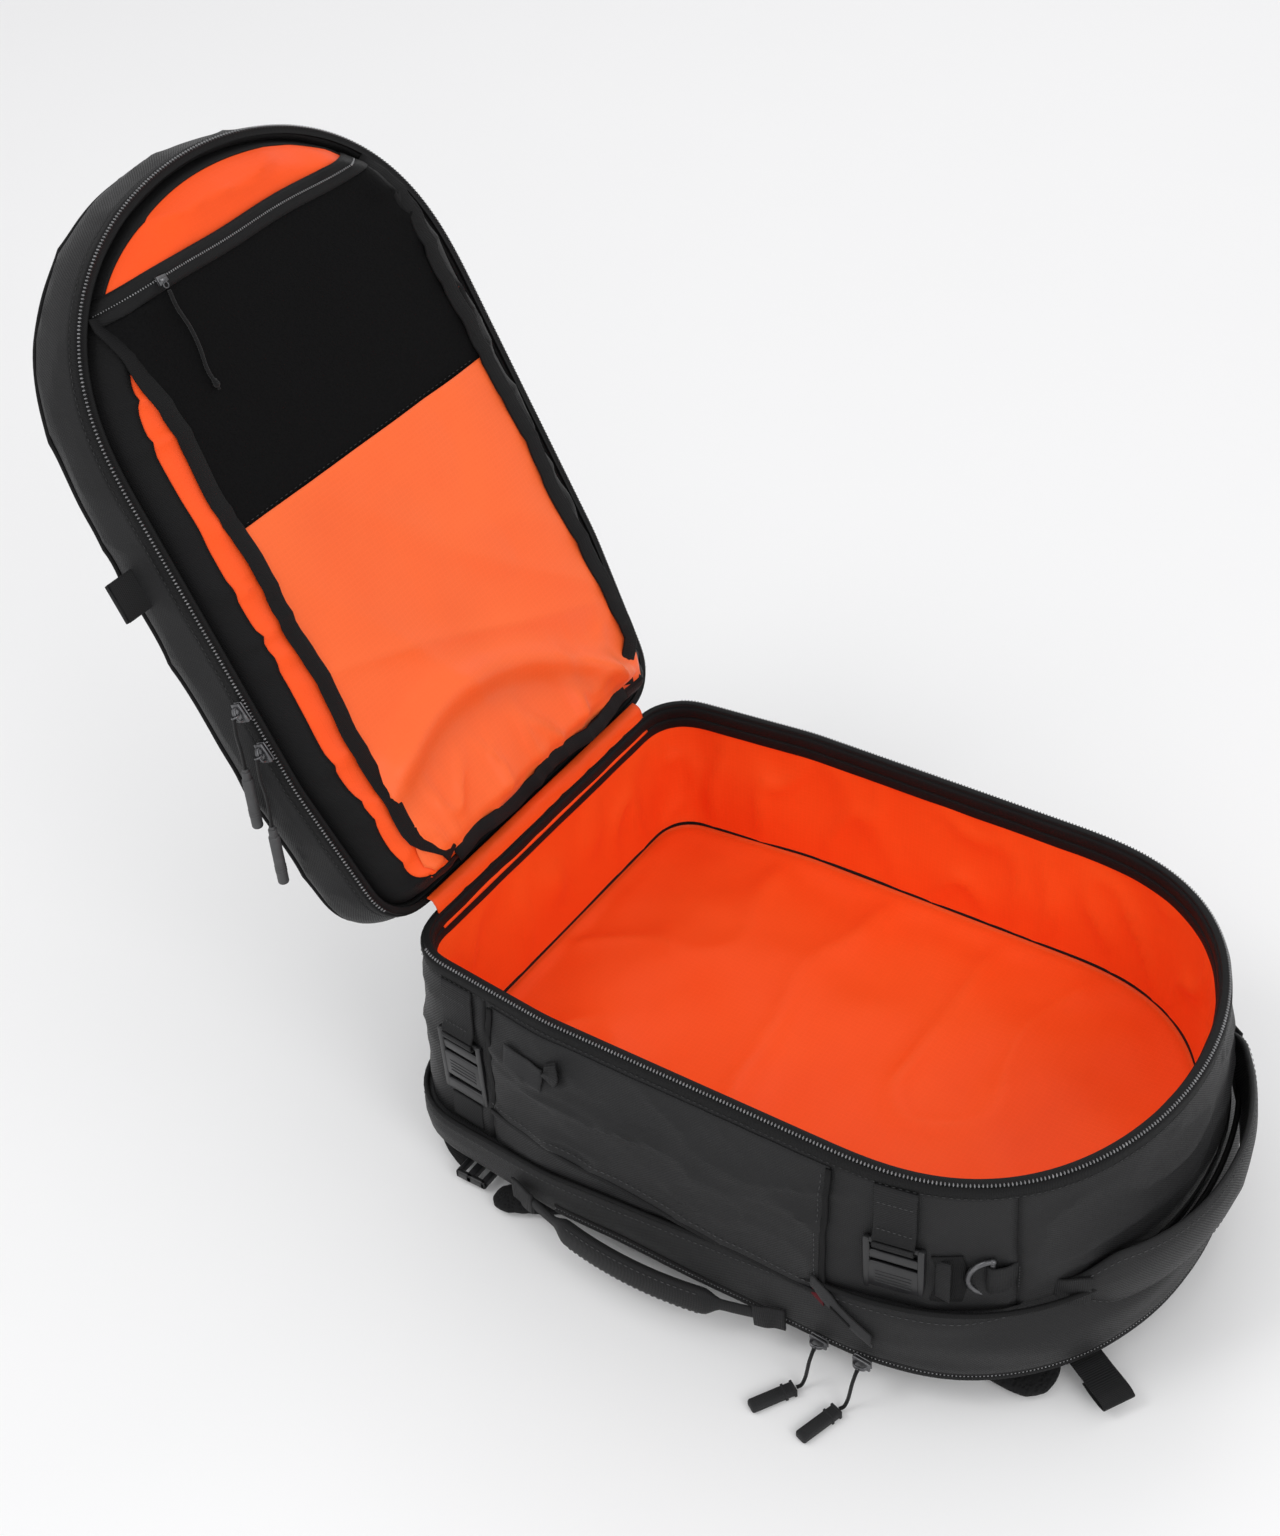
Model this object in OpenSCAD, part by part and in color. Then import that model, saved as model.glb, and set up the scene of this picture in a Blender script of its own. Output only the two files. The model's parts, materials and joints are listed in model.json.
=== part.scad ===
// Clamshell travel backpack lying on its harness side, lid unzipped and standing open.
// X runs from the hinge at the bottom end (-X) to the top end (+X), Y across, Z up from the floor.

/* [Main compartment] */
// Length of the zipped opening, from the hinge to the top end
rim_l = 510; // [490:5:530]
// Widest width across the opening
rim_w = 348; // [340:2:356]
// Width across the hinge end
hinge_w = 330; // [326:1:334]
// Height of the opening above the floor
rim_h = 200; // [196:1:206]
// Thickness of the fabric and foam walls
wall = 3; // [2:0.5:4]
// Radius of the two corners beside the hinge
corner_r = 38; // [34:1:42]
// Length over which the top end rounds off
dome_l = 171; // [165:1:175]

/* [Laptop compartment] */
// How far the laptop compartment stands out past the opening
layer_out = 16; // [14:1:18]
// Height of its upper face above the floor
layer_top = 74; // [70:1:76]
// Height of its zip above the floor
laptop_zip_h = 34; // [32:1:36]

/* [Back and harness] */
// Thickness of the back pads
pad_t = 16; // [14:1:18]
// Width of a shoulder strap
strap_w = 60; // [50:2:62]

/* [Lid] */
// Angle that the lid stands open from closed
lid_open = 116; // [90:1:150]
// Depth of the lid from its zip to its front
lid_depth = 50; // [46:1:54]
// How far the lining panel bulges past the lid's rim
lining_bulge = 22; // [16:1:24]
// Half width of the lid's inner pockets
pocket_half_w = 130; // [120:1:132]

/* [Straps and hardware] */
// Width of the compression webbing
webbing_w = 28; // [24:1:30]
// Height of the side handle's grip
grip_h = 24; // [20:1:26]
// Diameter of the zip pull cords
cord_d = 2.6; // [2:0.1:3]

/* [Hidden] */

$fn = 32;
gap = 0.3;                      // running gap between pieces that move apart
x_hinge_end = -rim_l / 2;
x_top_end = rim_l / 2;
hinge_x = x_hinge_end - 3;      // the lid turns on this line at the height of the rim
flare_x = x_hinge_end + rim_l / 4;
dome_power = 2.6;               // how square the top end is
binding_w = 8;                  // width of the rim binding
binding_h = 9.6;
zip_h = 2.2;
hinge_roll_r = 1.6;
hinge_roll_l = 210;
sheet_z = pad_t + 8;
divider_t = 8;
panel_cut = 120;                // side panels end this far short of the top end
pocket_out = 3;
fabric = [0.16, 0.16, 0.17];
trim = [0.10, 0.10, 0.11];
orange = [0.96, 0.42, 0.16];
mesh = [0.07, 0.07, 0.08];
metal = [0.35, 0.35, 0.37];

// half of the opening's width at x, with the outline moved out by off
function half_w(x, off = 0) =
    let (dome = dome_l + off, u = max(0, (x - (x_top_end - dome_l)) / dome),
         flare = max(0, flare_x - x) / (flare_x - x_hinge_end - corner_r))
    (rim_w / 2 + off) * sqrt(max(0, 1 - pow(u, dome_power))) - flare * (rim_w - hinge_w) / 2;
// angle of the wall at x, in degrees
function wall_turn(x, off = 0) = atan((half_w(x - 8, off) - half_w(x + 8, off)) / 16);

// near half of the outline, from the hinge round to the top end, moved in by t
function near_half(t) =
    let (r = corner_r - t, x0 = x_hinge_end + t, y0 = hinge_w / 2 - t,
         y1 = rim_w / 2 - t, dome = dome_l - t)
    concat(
        [for (a = [0:15:90]) [x0 + r - r * cos(a), r - r * sin(a) - y0]],
        [for (a = [0:7.5:90])
            [x_top_end - dome_l + dome * sin(a), -y1 * sqrt(max(0, 1 - pow(sin(a), dome_power)))]]);
function flared(t) = concat(
    [for (p = near_half(t)) if (p[0] < x_hinge_end + corner_r + 1) p],
    [[flare_x, t - rim_w / 2]],
    [for (p = near_half(t)) if (p[0] > x_hinge_end + corner_r + 1 && p[1] < -0.01) p]);
function outline(t) =
    let (half = flared(t), n = len(half))
    concat(half, [[x_top_end - t, 0]], [for (i = [n - 1:-1:0]) [half[i][0], -half[i][1]]]);

// a slab with the outline's shape
module slab(t, z0, z1) translate([0, 0, z0]) linear_extrude(z1 - z0) polygon(outline(t));

// a wall that follows the outline
module ring_wall(t0, t1, z0, z1) difference() {
    slab(t0, z0, z1);
    slab(t1, z0 - 1, z1 + 1);
}

// what is drawn sits on the near wall at x and z, facing out along -Y
module on_wall(x, z, off = 0) translate([x, -half_w(x, off), z])
    rotate([0, 0, wall_turn(x, off)]) children();

// the same on the far wall
module on_far_wall(x, z, off = 0) mirror([0, 1, 0]) on_wall(x, z, off) children();

// moves lid pieces from the closed place, with z counted from the rim, to the open one
module in_lid() translate([hinge_x, 0, rim_h]) rotate([0, -lid_open, 0])
    translate([-hinge_x, 0, 0]) children();

// a block from corner to corner
module block(a, b) translate(a) cube(b - a);

// a cord swept along its points, with 8 sides
module cord(points, d) {
    n = len(points);
    function ahead(i) = points[min(i + 1, n - 1)] - points[max(i - 1, 0)];
    function unit(v) = v / norm(v);
    rings = [for (i = [0:n - 1])
        let (t = unit(ahead(i)), side = unit(cross(t, [0.31, 0.95, 0.05])), up = cross(side, t))
        for (k = [0:7]) points[i] + d / 2 * (side * cos(45 * k) + up * sin(45 * k))];
    faces = concat(
        [[for (k = [0:7]) k]],
        [[for (k = [7:-1:0]) (n - 1) * 8 + k]],
        [for (i = [0:n - 2], k = [0:7])
            [i * 8 + k, i * 8 + 8 + k, i * 8 + 8 + (k + 1) % 8, i * 8 + (k + 1) % 8]]);
    polyhedron(rings, faces);
}

// ---- back and laptop compartment ----

pad_rows = [[-235, -95], [-85, 35], [125, 222]];
pad_in = 8;
pad_out = 84;

// four pads in two columns, and a wide one across the middle
module back_pads() color(mesh)
    for (row = pad_rows, side = [-1, 1])
        if (row[0] == pad_rows[1][0])
            block([row[0], -pad_out, 0], [row[1], pad_out, pad_t]);
        else
            translate([row[0], side < 0 ? -pad_out : pad_in, 0])
                cube([row[1] - row[0], pad_out - pad_in, pad_t]);

module back_panel() color(fabric) slab(wall + gap - layer_out, pad_t, sheet_z - 2.2);

module frame_sheet() color("dimgray") block([-240, -130, sheet_z - 2.2], [150, 130, sheet_z]);

module laptop_gusset() color(fabric) ring_wall(-layer_out, wall - layer_out, pad_t, layer_top);

laptop_zip_x = 66;              // the laptop zip runs from here round the top end
module laptop_zip() color(trim) difference() {
    ring_wall(-layer_out - 1.4, -layer_out, laptop_zip_h - 4, laptop_zip_h + 4);
    block([-400, -300, 0], [laptop_zip_x, 300, layer_top]);
}

module laptop_divider() color(fabric)
    slab(wall + gap - layer_out, layer_top - divider_t, layer_top);

// ---- main compartment ----

wall_top = rim_h - zip_h - gap - binding_h;

module wall_piece(a, b) color(fabric) intersection() {
    ring_wall(0, wall, layer_top, wall_top);
    block(a, b);
}

module bottom_panel() wall_piece([-400, -300, 0], [-190, 300, 300]);
module top_panel() wall_piece([x_top_end - panel_cut, -300, 0], [400, 300, 300]);
module near_side_panel() wall_piece([-190, -300, 0], [x_top_end - panel_cut, 0, 300]);
module far_side_panel() wall_piece([-190, 0, 0], [x_top_end - panel_cut, 300, 300]);

// the binding runs on into the fabric roll that the lid turns on
module rim_binding() color(trim) {
    ring_wall(0, binding_w, wall_top, rim_h - zip_h - gap);
    translate([hinge_x, 0, rim_h - 1]) rotate([90, 0, 0])
        cylinder(r = hinge_roll_r, h = hinge_roll_l, center = true);
    block([hinge_x, -hinge_roll_l / 2, rim_h - 5], [x_hinge_end, hinge_roll_l / 2, rim_h - 3.4]);
    block([hinge_x - 0.8, -hinge_roll_l / 2, rim_h - 5], [hinge_x + 0.8, hinge_roll_l / 2, rim_h - 1]);
}

module body_zip() color(metal) ring_wall(1, 6, rim_h - zip_h - gap, rim_h - gap);

// orange lining: a thin floor and a thin wall inside the shell
module body_lining() color(orange) {
    slab(wall + 1.4, layer_top, layer_top + 1);
    ring_wall(wall + 0.4, wall + 1.4, layer_top, wall_top);
}

module side_pocket() color(fabric)
    block([-168, -rim_w / 2 - pocket_out, 98], [84, -rim_w / 2, 186]);

module zip_garage() color("dimgray")
    block([82, -rim_w / 2 - layer_out - 3.4, 52], [126, -rim_w / 2 - layer_out, 72]);

module woven_tag() color("gray")
    block([-160, -rim_w / 2 - pocket_out - 1.2, 158], [-118, -rim_w / 2 - pocket_out, 178]);

// ---- compression straps ----

strap_low_x = -205;
strap_high_x = 134;
buckle_top = 140;
buckle_h = 56;
buckle_w = 40;
bar_r = 2;
bar_off = 5;                    // the buckle's top bar stands this far off the wall
slot_h = 3.6;

// one webbing: an upper length with a sewn loop round the buckle's bar, and a lower length
module webbing() {
    block([-webbing_w / 2, -2.2, buckle_top + 2.4], [webbing_w / 2, 0, wall_top]);
    difference() {
        union() {
            translate([0, -bar_off, buckle_top]) rotate([0, 90, 0])
                cylinder(r = bar_r + 1.5, h = webbing_w - 2, center = true);
            block([1 - webbing_w / 2, -bar_off, buckle_top + 1.4], [webbing_w / 2 - 1, 0, buckle_top + 3.4]);
        }
        translate([0, -bar_off, buckle_top]) rotate([0, 90, 0])
            cylinder(r = bar_r + gap, h = webbing_w + 10, center = true);
    }
    block([-webbing_w / 2, -1.6, layer_top], [webbing_w / 2, 0, buckle_top - buckle_h - 4]);
}

module compression_webbing() color(trim) {
    for (x = [strap_low_x, strap_high_x]) {
        on_wall(x, 0) webbing();
        on_far_wall(x, 0) webbing();
    }
}

// hook buckle: a top bar in the webbing's loop, two arms and two cross bars
module buckle() color("black") {
    translate([0, -bar_off, buckle_top]) rotate([0, 90, 0])
        cylinder(r = bar_r, h = buckle_w, center = true);
    for (side = [-1, 1])
        translate([side * (buckle_w / 2 - 2.5), 0, 0])
            block([-2.5, -bar_off - 2, buckle_top - buckle_h], [2.5, 2 - bar_off, buckle_top + 2]);
    translate([-buckle_w / 2, -bar_off - 2, buckle_top - buckle_h]) {
        cube([buckle_w, 3, 10]);
        translate([0, 0, 10 + slot_h]) cube([buckle_w, 3, buckle_h - 17 - slot_h]);
    }
}

module buckle_near_bottom() on_wall(strap_low_x, 0) buckle();
module buckle_near_top() on_wall(strap_high_x, 0) buckle();
module buckle_far_bottom() on_far_wall(strap_low_x, 0) buckle();
module buckle_far_top() on_far_wall(strap_high_x, 0) buckle();

// ---- D-ring ----

ring_x = 188;
ring_z = 120;
ring_r = 15;
ring_wire = 1.8;
ring_off = 4.6;

// webbing tab with a loop round the ring's straight bar, and the patch sewn behind the ring
module ring_tab() color(trim) {
    on_wall(ring_x - 20, ring_z) block([-12, -1.6, -18], [4, -0.1, 18]);
    on_wall(ring_x, ring_z) difference() {
        union() {
            translate([0, -ring_off, 0]) cylinder(r = ring_wire + 1.4, h = 24, center = true);
            block([0, -ring_off, -12], [14, 1 - ring_off, 12]);
            block([12, -ring_off, -12], [14, 0, 12]);
        }
        translate([0, -ring_off, 0]) cylinder(r = ring_wire + gap, h = 40, center = true);
    }
}

module ring() color(metal) on_wall(ring_x, ring_z) translate([0, -ring_off, 0]) {
    cylinder(r = ring_wire, h = 2 * ring_r, center = true);
    rotate([90, 0, 0]) rotate([0, 0, 90]) rotate_extrude(angle = 180)
        translate([ring_r, 0]) circle(r = ring_wire);
}

// ---- handles ----

handle_z = 104;
handle_h = 44;                  // height of its wide middle
handle_end_h = 16;
handle_r = 158;                 // radius of the arc that it follows
handle_cx = 122;
handle_half = 50;               // half of its arc, in degrees
handle_wide = 38;
handle_t = 6;
grip_x = -47;
grip_z = 36;
grip_r = 300;
grip_half = 18.2;
grip_wide = 11.3;
grip_y = -rim_w / 2 - layer_out - 20;
anchor_x = 102.8;

// a flat band bent to an arc in plan, from -half to half degrees
module arc_band(r, t, h, half) rotate([0, 0, -half]) rotate_extrude(angle = 2 * half, $fn = 96)
    translate([r - t / 2, -h / 2]) square([t, h]);

// stitched ends of the top handle and of the side handle
module handle_anchors() color(trim) {
    difference() {
        for (side = [-1, 1])
            translate([handle_cx, 0, handle_z]) rotate([0, 0, side * (handle_half + 1.6)])
                block([handle_r - 16, -1.2, -9], [handle_r - 0.5, 1.2, 9]);
        slab(0, 0, rim_h);
    }
    for (side = [-1, 1])
        translate([grip_x + side * anchor_x, grip_y + 14, grip_z - 10])
            translate([-8, 0, 0]) cube([16, 6, 20]);
}

module top_handle() color(fabric) translate([handle_cx, 0, handle_z]) {
    arc_band(handle_r, handle_t - 2, handle_end_h, handle_half);
    arc_band(handle_r, handle_t, handle_h, handle_wide);
}

// an arc of grip that stands off the wall
module side_handle() color(trim) translate([grip_x, grip_y + grip_r, grip_z]) rotate([0, 0, -90]) {
    arc_band(grip_r, 4, 10, grip_half);
    arc_band(grip_r, 10, grip_h, grip_wide);
}

// ---- harness, flat under the pack ----

strap_y = 122;
strap_t = 13;

// a flattened loop of webbing with its tongue sewn under the back panel
module haul_loop() color(trim) translate([246, -108, pad_t]) rotate([0, 0, -30]) {
    block([-16, -10, -2], [1, 10, 0]);
    difference() {
        block([0.6, -13, -7.6], [26, 13, 0]);
        block([3, -20, -5.6], [23, 20, -2]);
    }
}

module shoulder_strap(side) color(fabric) {
    hull() {
        translate([205, side * strap_y, 0.5]) cylinder(r = strap_w / 2 - 2, h = strap_t);
        translate([-80, side * strap_y, 0.5]) cylinder(r = strap_w / 2, h = strap_t);
    }
    hull() {
        translate([-80, side * strap_y, 0.5]) cylinder(r = strap_w / 2, h = strap_t);
        translate([-172, side * 182, 0.5]) cylinder(r = 16, h = strap_t);
    }
}
module shoulder_strap_near() shoulder_strap(-1);
module shoulder_strap_far() shoulder_strap(1);

// lower webbing and its sewn wing at the bottom corners
module harness_webbing() color(trim) for (side = [-1, 1]) {
    block([-262, side * 164 - 14, 8], [-220, side * 164 + 14, 10]);
    block([-262, side * 150 - 10, 10], [-244, side * 150 + 10, pad_t]);
}

module ladder_locks() color("black") for (side = [-1, 1])
    translate([-206, side * 168, 4]) difference() {
        block([-12, -17, 0], [14, 17, 7]);
        for (x = [-7.5, 1.5])
            block([x, -13, -1], [x + 3.6, 13, 8]);
    }

sternum_x = 80;

// each half: webbing, buckle half, and the slide on the strap's inner edge
module sternum_half() {
    color(trim) block([sternum_x - 10, 12, 7], [sternum_x + 10, 91.5, 9.5]);
    color("black") block([sternum_x - 14, 0.2, 4], [sternum_x + 14, 20, 12]);
}
module sternum_strap_near() mirror([0, 1, 0]) sternum_half();
module sternum_strap_far() sternum_half();

// ---- laptop zip sliders ----

laptop_a_x = 90;
laptop_b_x = 122;
layer_y = -rim_w / 2 - layer_out;
laptop_exit = [0, layer_y - 9.4, laptop_zip_h];
laptop_route = [[0, 0, 0], [0, -3, -3], [-1, -5, -10], [-2, -6, -18], [-3, -7, -25],
    [-4, -10, -29.6], [-6, -13, -30.2]];
laptop_tab_l = 34;

module laptop_slider(x) color(metal) translate([x, layer_y - 2, laptop_zip_h]) {
    block([-6, -2.6, -5], [6, 0.3, 5]);
    difference() {
        block([-2.5, -6, -3.5], [2.5, -2.6, 3.5]);
        block([-4, -4.4, -1.8], [4, -2.7, 1.8]);
    }
}
module laptop_cord(x) color("black") translate([x, 0, 0] + laptop_exit)
    cord(laptop_route, cord_d);
module laptop_tab(x, turn) color("dimgray")
    translate([x, 0, 0] + laptop_exit + laptop_route[6]) rotate([0, 0, -turn])
        block([-4.5, -laptop_tab_l, -3.2], [4.5, -1.6, 3.2]);

module laptop_slider_a() laptop_slider(laptop_a_x);
module laptop_slider_b() laptop_slider(laptop_b_x);
module laptop_cord_a() laptop_cord(laptop_a_x);
module laptop_cord_b() laptop_cord(laptop_b_x);
module laptop_tab_a() laptop_tab(laptop_a_x, 32);
module laptop_tab_b() laptop_tab(laptop_b_x, 18);

// ---- lid ----

tape_h = 0.2 + zip_h;
edge_h = tape_h + binding_h;

module lid_zip() color(metal) in_lid() ring_wall(1, 6, 0.2, tape_h);
module lid_binding() color(trim) in_lid() ring_wall(0, binding_w, tape_h, edge_h);
module lid_gusset() color(fabric) in_lid() ring_wall(0, wall, edge_h, lid_depth - wall);
module lid_front() color(fabric) in_lid() slab(0, lid_depth - wall, lid_depth);

// crowned orange lining: a flat rim that steps in to the pockets' plane
pocket_lo = x_hinge_end + 26;
pocket_hi = x_hinge_end + 470;
pocket_split = x_hinge_end + 292;
mesh_hi = x_hinge_end + 452;

pocket_z = -lining_bulge;
pocket_w = pocket_half_w - 14;  // half width between the binding tapes
tip_w = 70;

// the lining's outer shape, or with in > 0 the space inside it
module lining_solid(in) hull() {
    slab(binding_w + gap + in, edge_h - 2 + in / 2, edge_h + in / 2);
    for (end = [[pocket_hi - 60, pocket_half_w - in], [pocket_hi - in, tip_w - in]])
        block([pocket_lo + in, -end[1], pocket_z + in], [end[0], end[1], pocket_z + in + 2]);
}

module lid_lining() color(orange) in_lid() difference() {
    lining_solid(0);
    lining_solid(2.4);
}

// a flat piece on the lining, from a to b along the lid
module pocket_sheet(a, b, t) block([a, -pocket_w, pocket_z - t], [b, pocket_w, pocket_z]);

module mesh_pocket() color(mesh) in_lid() pocket_sheet(pocket_split + 1, mesh_hi - 7, 1);
module lower_pocket() color(orange) in_lid() pocket_sheet(pocket_lo + 4, pocket_split, 1);
module mesh_zip() color(trim) in_lid() pocket_sheet(mesh_hi - 6, mesh_hi + 6, 1.2);
module lid_tapes() color(trim) in_lid() for (side = [-1, 1])
    translate([pocket_lo + 6, side * (pocket_w + 6.2) - 5.8, pocket_z - 1.6])
        cube([mesh_hi - 46 - pocket_lo, 11.6, 1.6]);

mesh_slider_y = -88;
module mesh_slider() color(metal) in_lid() translate([mesh_hi, mesh_slider_y, pocket_z - 1.2])
    block([-5, -6, -3.6], [5, 6, -gap]);

mesh_route = [[0, 0, 0], [-12, 0, 1.4], [-26, 2, 2], [-40, 1, 2], [-54, -2, 2], [-66, -1, 2]];
mesh_cord_in = 7.6;             // the pocket's pull cord starts this far below the zip's middle
module mesh_cord() color("black") in_lid() translate([mesh_hi - mesh_cord_in, mesh_slider_y, pocket_z - 4.6])
    cord(mesh_route, cord_d);

// webbing tabs on both sides of the lid, where the compression straps hook on
tab_l = 26;
module lid_tabs() color(trim) in_lid() for (side = [-1, 1])
    translate([20, side * (rim_w / 2 + tab_l / 2) - tab_l / 2, 30]) cube([webbing_w, tab_l, 3]);

// ---- zip across the bottom end ----

end_zip_z = 166;
end_zip_half = 124;
end_slider_y = -116;
end_pull_l = 46;
module end_zip() color(metal)
    block([x_hinge_end - 1.6, -end_zip_half, end_zip_z - 3], [x_hinge_end, end_zip_half, end_zip_z + 3]);
module end_slider() color(metal) translate([x_hinge_end - 1.6, end_slider_y, end_zip_z]) {
    block([-3.4, -6, -4], [-gap, 6, 4]);
    block([-5.4, -2, -2], [-3.4, 2, 2]);
}

// ---- main zip sliders and their pulls ----

slider_a_x = hinge_x + 195;
slider_b_x = hinge_x + 164;
slider_y = -rim_w / 2 - 1;

module main_slider(x) color(metal) in_lid() translate([x, slider_y, 0]) {
    block([-7, -5, -3], [7, -0.4, 7]);
    difference() {
        block([-4, -8.6, -1], [4, -5, 5]);
        block([-2.2, -7.4, -4], [2.2, -5.1, 9]);
    }
}
module main_slider_a() main_slider(slider_a_x);
module main_slider_b() main_slider(slider_b_x);

// where a slider's eye lies once the lid is open
function lid_point(x, y, z) = [
    hinge_x + (x - hinge_x) * cos(lid_open) - z * sin(lid_open),
    y,
    rim_h + (x - hinge_x) * sin(lid_open) + z * cos(lid_open)];

main_route_a = [[0, 0, 0], [0, -1, -14], [0, 0, -28], [0, 0, -42]];
main_route_b = [[0, 0, 0], [0, -1, -16], [1, 0, -34], [0, 0, -58]];
main_tab_l = 50;
function pull_exit(x) = lid_point(x, slider_y - 10.4, 2);

module hanging_tab(l) color("dimgray") translate([0, 0, -l - 0.2]) cylinder(d = 8, h = l);
module main_cord_a() color("black") translate(pull_exit(slider_a_x)) cord(main_route_a, cord_d);
module main_cord_b() color("black") translate(pull_exit(slider_b_x)) cord(main_route_b, cord_d);
module main_tab_a() translate(pull_exit(slider_a_x) + main_route_a[3]) hanging_tab(main_tab_l);
module main_tab_b() translate(pull_exit(slider_b_x) + main_route_b[3]) hanging_tab(main_tab_l);
module end_pull() translate([x_hinge_end - 11.8, end_slider_y, end_zip_z]) hanging_tab(end_pull_l);

back_panel();
back_pads();
frame_sheet();
laptop_gusset();
laptop_zip();
laptop_divider();
bottom_panel();
top_panel();
near_side_panel();
far_side_panel();
rim_binding();
body_zip();
body_lining();
side_pocket();
zip_garage();
woven_tag();
compression_webbing();
ring_tab();
handle_anchors();
haul_loop();
shoulder_strap_near();
shoulder_strap_far();
harness_webbing();
ladder_locks();
sternum_strap_near();
sternum_strap_far();
buckle_near_bottom();
buckle_near_top();
buckle_far_bottom();
buckle_far_top();
ring();
top_handle();
side_handle();
laptop_slider_a();
laptop_slider_b();
laptop_cord_a();
laptop_cord_b();
laptop_tab_a();
laptop_tab_b();
lid_gusset();
lid_front();
lid_binding();
lid_zip();
lid_lining();
mesh_pocket();
mesh_zip();
lower_pocket();
lid_tapes();
lid_tabs();
end_zip();
end_slider();
end_pull();
mesh_slider();
mesh_cord();
main_slider_a();
main_slider_b();
main_cord_a();
main_cord_b();
main_tab_a();
main_tab_b();
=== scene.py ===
"""Clamshell travel backpack: fabric shells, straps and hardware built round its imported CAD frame."""
import json
import math

import bmesh
import bpy
from bpy.props import FloatProperty, FloatVectorProperty, IntProperty, PointerProperty
from mathutils import Matrix, Vector, noise

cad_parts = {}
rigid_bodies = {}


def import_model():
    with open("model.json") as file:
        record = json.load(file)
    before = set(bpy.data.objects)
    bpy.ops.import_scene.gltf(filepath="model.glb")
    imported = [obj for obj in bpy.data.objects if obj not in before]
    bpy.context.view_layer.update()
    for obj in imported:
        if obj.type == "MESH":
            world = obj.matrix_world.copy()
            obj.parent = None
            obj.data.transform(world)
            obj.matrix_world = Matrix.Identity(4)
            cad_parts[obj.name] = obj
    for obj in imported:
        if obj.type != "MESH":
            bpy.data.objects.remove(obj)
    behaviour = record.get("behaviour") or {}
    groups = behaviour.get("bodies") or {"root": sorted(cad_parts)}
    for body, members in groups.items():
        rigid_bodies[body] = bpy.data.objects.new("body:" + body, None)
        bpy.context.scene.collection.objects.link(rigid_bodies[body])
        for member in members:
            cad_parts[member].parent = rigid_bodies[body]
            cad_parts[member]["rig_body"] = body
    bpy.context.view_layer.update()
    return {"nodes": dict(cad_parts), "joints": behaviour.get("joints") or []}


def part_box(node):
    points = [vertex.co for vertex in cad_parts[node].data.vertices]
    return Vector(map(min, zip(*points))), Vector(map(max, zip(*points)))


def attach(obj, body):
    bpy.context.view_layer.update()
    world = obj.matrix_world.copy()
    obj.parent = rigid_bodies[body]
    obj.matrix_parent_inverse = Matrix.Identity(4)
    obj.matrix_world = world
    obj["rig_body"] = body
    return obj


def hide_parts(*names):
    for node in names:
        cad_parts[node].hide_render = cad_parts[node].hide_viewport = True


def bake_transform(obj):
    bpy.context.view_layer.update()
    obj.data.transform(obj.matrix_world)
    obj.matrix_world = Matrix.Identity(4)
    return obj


bl_info = {
    "name": "Travel backpack",
    "version": (1, 0, 0),
    "blender": (4, 5, 0),
    "location": "View3D > Sidebar > Backpack",
    "description": "Builds an open clamshell travel backpack, piece by piece",
    "category": "Add Mesh",
}

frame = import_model()

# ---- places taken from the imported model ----

MM = 0.001
JOINTS = {joint["name"]: joint for joint in frame["joints"]}
HINGE = Vector(JOINTS["lid_hinge"]["pos_m"])
LID_OPEN = -JOINTS["lid_hinge"]["range_deg"][0]
HALF_W = -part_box("near_side_panel")[0].y
HINGE_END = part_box("bottom_panel")[0].x
TOP_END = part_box("top_panel")[1].x
WALL_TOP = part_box("near_side_panel")[1].z
RIM_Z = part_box("body_zip")[1].z + 0.3 * MM
LAYER_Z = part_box("laptop_gusset")[1].z
LAYER_OUT = -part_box("laptop_gusset")[0].y - HALF_W
PAD_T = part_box("back_pads")[1].z
# The opening's outline: its width at the hinge end, the corners there, and the arch of the top end
HINGE_W = 330 * MM
CORNER_R = 38 * MM
DOME_L = 171 * MM
DOME_POWER = 2.6
# The laptop layer's seam runs this far below its top edge
SEAM_DROP = 6.5 * MM
FLARE_X = HINGE_END + (TOP_END - HINGE_END) / 4
LID = (Matrix.Translation(HINGE) @ Matrix.Rotation(math.radians(-LID_OPEN), 4, "Y")
       @ Matrix.Translation((-HINGE.x, 0, 0)))
# Steps round the whole outline
ROUND = 288


def half_width(x, off=0.0):
    """Half of the opening's width at x, with the outline moved out by off."""
    dome = DOME_L + off
    reach = min(1.0, max(0.0, (x - (TOP_END - DOME_L)) / dome))
    flare = max(0.0, FLARE_X - x) / (FLARE_X - HINGE_END - CORNER_R)
    return (HALF_W + off) * (1 - reach ** DOME_POWER) ** 0.5 - flare * (HALF_W - HINGE_W / 2)


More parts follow.
